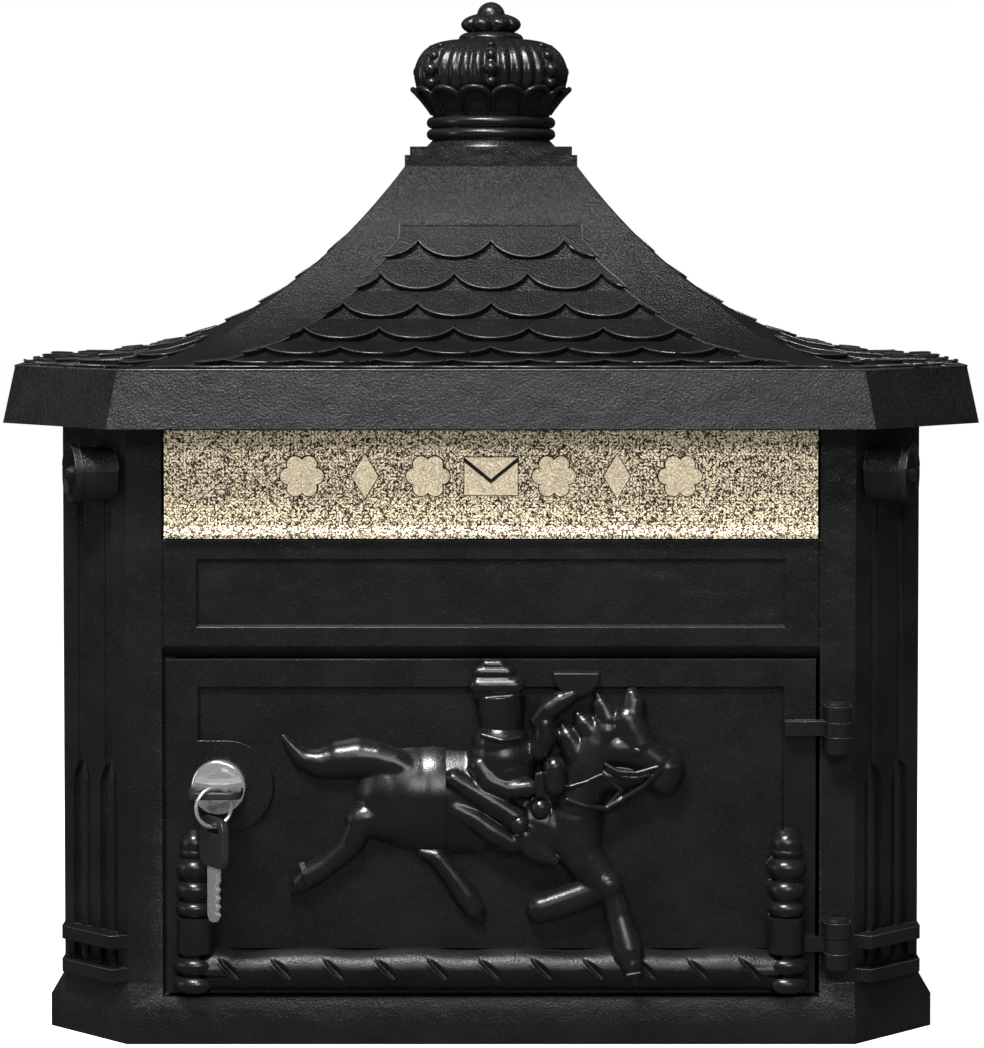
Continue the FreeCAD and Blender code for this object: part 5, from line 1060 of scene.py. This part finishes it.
@dataclass
class HorseRelief:
    """The horse and rider on the door: limbs melted into one casting, with crisp straps laid over them."""

    finish: Finish
    panel: float = 166.0
    voxel_mm: float = 0.62
    cloth_across: float = -18.4
    hindquarters: dict[str, Rows] = field(default_factory=lambda: {
        "tail": ((-84.4, 125.2, 1.2, 3.0), (-80.6, 120.4, 2.6, 4.0), (-75.8, 115.5, 4.6, 5.2),
                 (-69.2, 113.8, 6.4, 6.2), (-61.6, 115.1, 8.2, 6.8), (-54.0, 116.0, 8.6, 7.0),
                 (-46.4, 115.6, 7.4, 7.0), (-39.4, 114.0, 6.2, 7.2), (-32.6, 110.2, 6.6, 7.4)),
        "rump": ((-38.2, 99.6, 17.4, 9.6), (-31.8, 99.2, 21.2, 10.6), (-23.5, 98.6, 22.2, 10.4)),
        "thigh": ((-42.5, 92.0, 10.4, 8.4), (-51.2, 91.3, 7.6, 7.8), (-53.0, 90.7, 7.0, 7.8)),
        "shin": ((-53.2, 89.2, 6.4, 7.8), (-56.8, 81.2, 5.4, 7.0), (-66.7, 72.9, 4.7, 6.6),
                 (-72.8, 68.9, 5.4, 6.8), (-77.4, 65.1, 4.0, 5.6), (-81.0, 61.8, 1.4, 3.6)),
    })
    forequarters: dict[str, Rows] = field(default_factory=lambda: {
        "hind_leg": ((-28.4, 77.6, 2.2, 3.2), (-22.0, 75.6, 4.0, 4.6), (-15.3, 67.2, 4.4, 5.2),
                     (-9.8, 59.2, 5.0, 5.8), (-6.5, 54.2, 4.4, 5.4), (-3.8, 50.1, 1.6, 3.6)),
        "barrel": ((-22.2, 98.2, 21.2, 8.8), (-9.5, 97.6, 21.2, 8.6), (3.1, 95.8, 18.6, 8.4)),
        "girth": ((4.4, 93.3, 16.6, 8.4), (15.8, 89.4, 14.0, 8.6), (26.0, 86.9, 12.6, 9.4)),
        "chest": ((33.4, 90.6, 12.8, 10.6), (34.4, 82.6, 11.2, 10.4)),
        "neck": ((34.6, 97.0, 11.2, 10.4), (37.6, 105.5, 10.4, 9.6), (39.9, 113.8, 10.0, 9.2),
                 (43.2, 121.2, 9.4, 8.8), (47.0, 127.0, 8.0, 8.4)),
        "cheek": ((51.4, 119.8, 7.6, 9.4), (56.4, 120.0, 7.8, 9.8), (62.3, 118.2, 8.2, 10.0),
                  (67.2, 114.4, 7.8, 10.0)),
        "muzzle": ((71.0, 111.8, 8.0, 9.8), (70.2, 108.5, 7.8, 9.8)),
        "jaw": ((41.0, 109.0, 7.2, 8.4), (51.7, 108.6, 6.2, 8.2), (61.5, 108.5, 4.4, 7.6)),
        "brow": ((55.4, 131.6, 7.0, 9.2), (57.4, 126.6, 7.2, 9.8), (60.0, 121.8, 7.8, 10.2)),
        "ear": ((55.2, 127.0, 6.4, 8.4), (57.0, 134.1, 5.9, 8.0), (57.9, 139.0, 5.0, 7.0),
                (57.2, 141.8, 3.6, 6.0)),
        "mane_high": ((43.0, 142.4, 1.7, 4.8), (44.8, 138.0, 4.0, 6.4), (47.6, 131.9, 5.8, 7.6)),
        "mane_middle": ((35.2, 134.2, 1.7, 4.6), (38.0, 130.2, 4.4, 6.6), (42.0, 125.3, 6.0, 7.4)),
        "mane_low": ((28.8, 129.6, 1.7, 4.4), (31.1, 125.0, 4.4, 6.4), (35.2, 117.4, 6.4, 7.4)),
        "shoulder": ((33.6, 81.8, 10.2, 10.0), (38.4, 74.5, 8.6, 9.8), (43.8, 67.9, 7.4, 9.6)),
        "knee": ((47.3, 65.1, 6.2, 10.8), (47.8, 64.3, 6.0, 10.8)),
        "foreleg": ((49.8, 60.0, 4.4, 9.6), (52.0, 51.6, 5.2, 10.6), (54.2, 43.6, 6.3, 13.0),
                    (55.4, 38.7, 6.7, 14.2), (56.9, 33.4, 4.6, 14.6), (57.9, 29.5, 2.8, 14.4),
                    (58.3, 25.7, 1.1, 13.2)),
        "folded_leg": ((41.9, 62.4, 6.0, 8.4), (31.7, 58.5, 6.3, 8.0), (23.1, 55.6, 6.0, 7.8),
                       (19.9, 54.8, 5.9, 7.6)),
        "torso": ((3.9, 121.8, 12.0, 11.4), (4.7, 115.5, 14.2, 12.4), (5.7, 111.0, 12.6, 12.6)),
        "low_arm": ((-4.5, 113.6, 4.6, 11.0), (-0.4, 107.7, 4.6, 13.0), (7.0, 104.7, 3.9, 13.8),
                    (15.8, 105.7, 3.6, 13.6)),
        "high_arm": ((19.8, 119.4, 4.6, 9.0), (22.0, 125.4, 5.2, 9.8), (21.8, 130.4, 4.4, 9.4)),
        "forearm": ((18.9, 131.8, 3.4, 8.4), (22.9, 136.2, 4.6, 9.4), (28.6, 140.4, 4.1, 9.0),
                    (33.2, 142.6, 2.8, 7.8)),
        "rider_leg": ((-15.1, 108.4, 3.6, 10.2), (-8.3, 104.3, 4.2, 11.6), (1.9, 98.2, 4.7, 12.8),
                      (9.7, 93.2, 4.6, 13.2)),
        "skirt": ((-14.4, 96.0, 4.8, 9.6), (-7.0, 92.4, 4.5, 10.6), (0.6, 86.9, 4.7, 10.8),
                  (8.0, 82.3, 4.6, 10.4)),
        "boot": ((13.8, 85.4, 4.8, 11.4), (16.4, 80.6, 5.0, 11.0), (22.4, 76.9, 3.4, 9.6),
                 (26.0, 74.9, 1.8, 8.8)),
    })
    details: dict[str, Rows] = field(default_factory=lambda: {
        "hat": ((-1.6, 154.4, 3.0, 8.2), (3.8, 154.4, 3.0, 8.2)),
        "hat_ring": ((-4.6, 151.6, 3.0, 9.0), (6.6, 151.6, 3.0, 9.0)),
        "brim": ((-5.1, 146.3, 4.0, 10.2), (9.7, 146.3, 4.0, 10.2)),
        "brim_low": ((-5.0, 143.3, 2.6, 9.0), (10.1, 143.3, 2.6, 9.0)),
        "collar": ((-3.5, 126.5, 1.3, 10.4), (4.4, 124.7, 1.3, 12.6), (11.8, 125.7, 1.3, 10.4)),
        "hand": ((25.7, 113.5, 4.7, 13.0), (25.9, 106.0, 4.5, 12.8)),
        "cuff": ((18.8, 111.0, 1.3, 13.2), (19.1, 102.6, 1.3, 12.6)),
        "cuff_two": ((20.4, 111.5, 1.1, 12.8), (20.7, 103.4, 1.1, 12.4)),
        "pommel": ((20.0, 97.1, 4.2, 12.8), (20.2, 96.7, 4.2, 12.8)),
        "knee_cap": ((11.3, 91.0, 3.9, 13.8), (11.5, 90.5, 3.9, 13.8)),
        "noseband": ((46.3, 114.6, 1.1, 9.6), (51.4, 111.8, 1.1, 10.6), (59.0, 111.3, 1.1, 10.8),
                     (67.6, 113.8, 1.2, 10.8)),
        "noseband_low": ((47.1, 112.5, 0.9, 9.4), (52.1, 109.8, 0.9, 10.2), (58.5, 109.2, 0.9, 10.4),
                         (64.1, 110.5, 0.9, 10.2)),
        "rein": ((30.8, 100.5, 1.2, 11.2), (38.7, 97.8, 1.2, 11.2), (46.6, 96.6, 1.2, 9.0),
                 (53.4, 100.4, 1.2, 8.4), (61.8, 105.7, 1.2, 9.2), (68.1, 112.3, 1.2, 10.6)),
        "strap": ((31.8, 105.7, 1.0, 10.4), (38.7, 107.7, 1.0, 9.8), (45.0, 110.5, 1.0, 9.4),
                  (48.8, 107.0, 1.0, 8.6), (52.9, 103.9, 1.0, 8.2), (47.1, 97.6, 1.0, 8.6)),
        "hoof_band": ((-77.6, 73.7, 0.9, 6.4), (-76.1, 69.4, 0.9, 7.6), (-74.5, 65.1, 0.9, 6.6)),
        "hoof_band_two": ((-75.8, 74.0, 0.7, 6.2), (-74.3, 69.6, 0.7, 7.4), (-72.8, 65.6, 0.7, 6.4)),
        "leg_ring": ((54.9, 29.8, 1.0, 15.0), (60.3, 30.8, 1.0, 14.6)),
        "eye": ((59.2, 120.0, 2.7, 10.6), (59.5, 119.8, 2.7, 10.6)),
    })

    def chain(self, stations: Sequence[Station], sides: int = 20) -> list[Piece]:
        """Balls at the stations and cones between them.

        Args:
            stations: The limb's sections.
            sides: Faces round the limb.

        Returns:
            The overlapping primitives.
        """
        sides = max(sides, int(sides * max(station.radius for station in stations) / 5.0))
        made = [ball(station.centre(self.panel), station.radius, segments=sides, rings=max(8, sides // 2))
                for station in stations]
        for low, high in zip(stations, stations[1:]):
            start, end = low.centre(self.panel), high.centre(self.panel)
            if (end - start).length > 0.3 * MM:
                made.append(cone(start, end, low.radius, high.radius, sides))
        return made

    def chains(self, limbs: dict[str, Rows], sides: int = 20) -> list[Piece]:
        """The primitives of several limbs, whose stations are given by their four numbers."""
        stations = [[Station(*row) for row in rows] for rows in limbs.values()]
        return [part for limb in stations for part in self.chain(limb, sides)]

    def rider_head(self) -> list[Piece]:
        """The rider's plain head and the bell of the horn.

        Returns:
            The two.
        """
        head = cone(place(4.6, self.panel + 0.2, 126.6), place(3.4, self.panel + 0.2, 142.0), 8.9, 10.7, 48)
        bell = cone(place(34.6, self.panel - 0.5, 151.3), place(34.6, self.panel + 7.0, 151.3), 9.8, 9.4, 48)
        slice_off(settle(bell), place(34.6, self.panel, 151.6), (0, 0, 1))
        return [head, bell]

    def melt(self, parts: Sequence[Piece], name: str, voxel: float, passes: int) -> Piece:
        """Joins primitives into one skin and softens where they meet.

        Args:
            parts: Overlapping closed primitives.
            name: The piece's name.
            voxel: Size of the new skin's cells, in millimetres.
            passes: Smoothing passes.

        Returns:
            The softened object.
        """
        made = join(parts, name)
        modify(made, "REMESH", mode="VOXEL", voxel_size=voxel * MM, use_smooth_shade=True)
        modify(made, "SMOOTH", factor=0.5, iterations=passes)
        return made

    def build(self) -> Piece:
        """Builds and joins the relief, cut at the saddle cloth's edge and just behind the panel's face.

        Returns:
            The relief.
        """
        rear = self.melt(self.chains(self.hindquarters), "relief_rear", self.voxel_mm, 11)
        slice_off(rear, place(self.cloth_across, 0, 0), (1, 0, 0))
        front = self.melt(self.chains(self.forequarters), "relief_front", self.voxel_mm, 8)
        straps = self.melt(self.chains(self.details, 16) + self.rider_head(), "relief_straps",
                           self.voxel_mm * 0.7, 2)
        made = join([rear, front, straps], "horse_relief")
        slice_off(made, place(0, self.panel - 0.2, 0), (0, 1, 0))
        made.data.validate()
        smooth(made, 60.0)
        dress(made, self.finish)
        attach(made, "door")
        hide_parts("door_ornament")
        return made


@dataclass
class Fittings:
    """Finishes of the pieces that keep their CAD shape."""

    finishes: dict[Slot, Finish]

    def dress(self) -> None:
        """Gives every plain node the finish of its slot."""
        for part in frame["record"]["subparts"]:
            node = frame["nodes"].get(part["node"])
            if node is not None:
                dress(node, self.finishes[Slot(part["material_slot"])])


@dataclass
class Studio:
    """Floor, daylight and camera."""

    focal_px: float = 3518.0
    camera_out: float = 1589.2
    camera_height: float = 330.3
    tilt: float = 0.0387
    centre_px: float = 491.0
    shift: float = 0.15
    sensor_mm: float = 36.0
    world_strength: float = 0.05

    def floor(self) -> Piece:
        """The pale floor, which shows plain white behind the object.

        Returns:
            The floor.
        """
        deselect()
        bpy.ops.mesh.primitive_plane_add(size=14.0, location=(0, 0, -MOUNT_HEIGHT * MM))
        made = bpy.context.object
        made.name = "studio_floor"
        settle(made)
        paint = Paint("studio_floor")
        seen = paint.node("ShaderNodeLightPath", {}, {}, "Is Camera Ray")
        mirrored = paint.node("ShaderNodeLightPath", {}, {}, "Is Glossy Ray")
        paint.set(Base_Color=paint.blend(mirrored, colour(0.8, 0.8, 0.8), colour(0.06, 0.06, 0.06)),
                  Roughness=0.9, Specular_IOR_Level=0.0,
                  Emission_Color=paint.blend(seen, colour(0, 0, 0), colour(1, 1, 1)), Emission_Strength=0.93)
        dress(made, paint.material)
        return made

    def world(self) -> None:
        """A plain world: white to the camera, faint as light."""
        world = bpy.data.worlds.new("studio")
        bpy.context.scene.world = world
        world.use_nodes = True
        tree = world.node_tree
        background = tree.nodes["Background"]
        background.inputs["Color"].default_value = colour(1, 1, 1)
        path = tree.nodes.new("ShaderNodeLightPath")
        seen = tree.nodes.new("ShaderNodeMix")
        seen.inputs[2].default_value = self.world_strength
        seen.inputs[3].default_value = 1.0
        tree.links.new(path.outputs["Is Camera Ray"], seen.inputs[0])
        tree.links.new(seen.outputs[0], background.inputs["Strength"])

    def lamp(self, name: str, spot: Vector, size: Pair, power: float) -> None:
        """A soft box that faces the object.

        Args:
            name: Its name.
            spot: Its place, in metres.
            size: Width and height, in metres.
            power: Watts.
        """
        light = bpy.data.lights.new(name, "AREA")
        light.shape, light.size, light.size_y, light.energy = "RECTANGLE", size[0], size[1], power
        made = link(bpy.data.objects.new(name, light))
        made.location = spot
        made.rotation_mode = "QUATERNION"
        made.rotation_quaternion = (Vector((0, -0.1, 0.08)) - spot).to_track_quat("-Z", "Y")

    def lamps(self) -> None:
        """A high key box from the front left, a far front box and a faint one at the left side."""
        self.lamp("key", Vector((-0.35, -1.08, 1.52)), (0.60, 0.32), 60.0)
        self.lamp("front", Vector((0.35, -2.6, 1.12)), (1.0, 0.35), 32.0)
        self.lamp("side", Vector((-1.8, -0.6, 0.4)), (0.3, 0.9), 3.0)

    def camera(self) -> None:
        """The photograph's camera: a long lens a little above, tipped down and shifted for the rest."""
        data = bpy.data.cameras.new("view")
        made = link(bpy.data.objects.new("view", data))
        data.sensor_fit = "AUTO"
        data.sensor_width = self.sensor_mm
        data.lens = self.focal_px / PHOTO_HEIGHT * self.sensor_mm
        data.shift_y = -self.shift
        data.clip_end = 30.0
        side = (PHOTO_WIDTH / 2 - self.centre_px) / self.focal_px
        made.location = place(0.0, self.camera_out, self.camera_height)
        made.rotation_euler = (math.pi / 2 - self.tilt, 0.0, -math.atan(side))
        bpy.context.scene.camera = made

    def build(self) -> None:
        """Sets up the whole studio."""
        bpy.context.scene.view_settings.view_transform = "Standard"
        self.floor()
        self.world()
        self.lamps()
        self.camera()


def main() -> None:
    """Builds the object's pieces in order, then the studio."""
    logging.basicConfig(level=logging.INFO, format="%(name)s: %(message)s")
    coat = BlackCoat("powder_coat").material()
    satin = BlackCoat("satin_coat", 0.004, 0.33, 0.7, 0.11, 0.42).material()
    # Lighter worn coat for the edge beads: partly rubbed wear, partly painted highlight lines along edges and
    # scale rims.
    worn = BlackCoat("worn_and_painted_sheen_coat", 0.022, 0.36, 0.9, 0.3, 0.7).material()
    # Dark coat for the cords at the feet of the flap's motifs: a painted shade outline, partly patina.
    patina = BlackCoat("dark_patina_and_painted_shade", 0.012, 0.6, 0.9, 0.2, 0.2).material()
    brass = AntiqueBrass().material()
    Fittings({
        Slot.CASTING: coat,
        Slot.GLOSS_CASTING: satin,
        Slot.BRASS_FINISH: brass,
        Slot.BLACK_STEEL: satin,
        Slot.LOCK_CHROME: BrightMetal("lock_chrome", (0.80, 0.80, 0.82), 0.12).material(),
        Slot.KEY_STEEL: BrightMetal("key_steel", (0.70, 0.69, 0.67), 0.26).material(),
        Slot.KEY_PLASTIC: BlackPlastic().material(),
        Slot.FASTENER_STEEL: BrightMetal("fastener_steel", (0.60, 0.60, 0.61), 0.35).material(),
    }).dress()
    sill = Draft(place(-119.6, 166.5, 169.4), place(119.6, 166.5, 197.4))
    # Dark cords along the hollow feet of the flap's motifs: painted shade round the motifs.
    corners = EdgeBeads(patina, 215.0, 0.45, facing=(0, -1, 0), hollow=True)
    # Eave and scale rim beads in the worn coat: painted highlight lines, partly wear.
    eaves = EdgeBeads(worn, 268.0, 0.42, 352.0, plain=(277.0, 334.0))
    rope = RopeRail(BlackCoat("rope_coat", 0.003, 0.38, 0.8, 0.4, 0.3).material())
    under = (place(-rope.half - 1, rope.out + 9.5, rope.height - 9.0),
             place(rope.half + 1, 166.15, rope.height + 9.0))
    panel = Draft(place(-119.1, 166, 30.0), place(119.1, 166, 145.4))
    posts = tuple((place(middle - 9.5, 200.0, 15.0), place(middle + 9.5, 166.3, 92.0))
                  for middle in (-119.8, 119.8))
    castings = (
        CastCopy("body_casting", coat, Slot.CASTING, Body.CASE, drafts=(sill,),
                 rubbed_and_painted_light=EdgeBeads(worn, 3.0, 0.18)),
        CastCopy("letter_flap", brass, Slot.BRASS_FINISH, Body.FLAP, 0.35, rubbed_and_painted_light=corners),
        CastCopy("roof_casting", coat, Slot.CASTING, Body.CASE, 0.0, rubbed_and_painted_light=eaves, crease=20.0),
        CastCopy("door", coat, Slot.CASTING, Body.DOOR, 0.4, drafts=(panel,), without=under,
                 rubbed_and_painted_light=EdgeBeads(worn, 120.0, 0.16), polish=satin, polished=posts),
    )
    for piece in (*castings, rope, CrownFinial(satin), HorseRelief(satin)):
        made = piece.build()
        LOG.info("%s: %d faces", made.name, len(made.data.polygons))
    Studio().build()


if __name__ == "__main__":
    main()
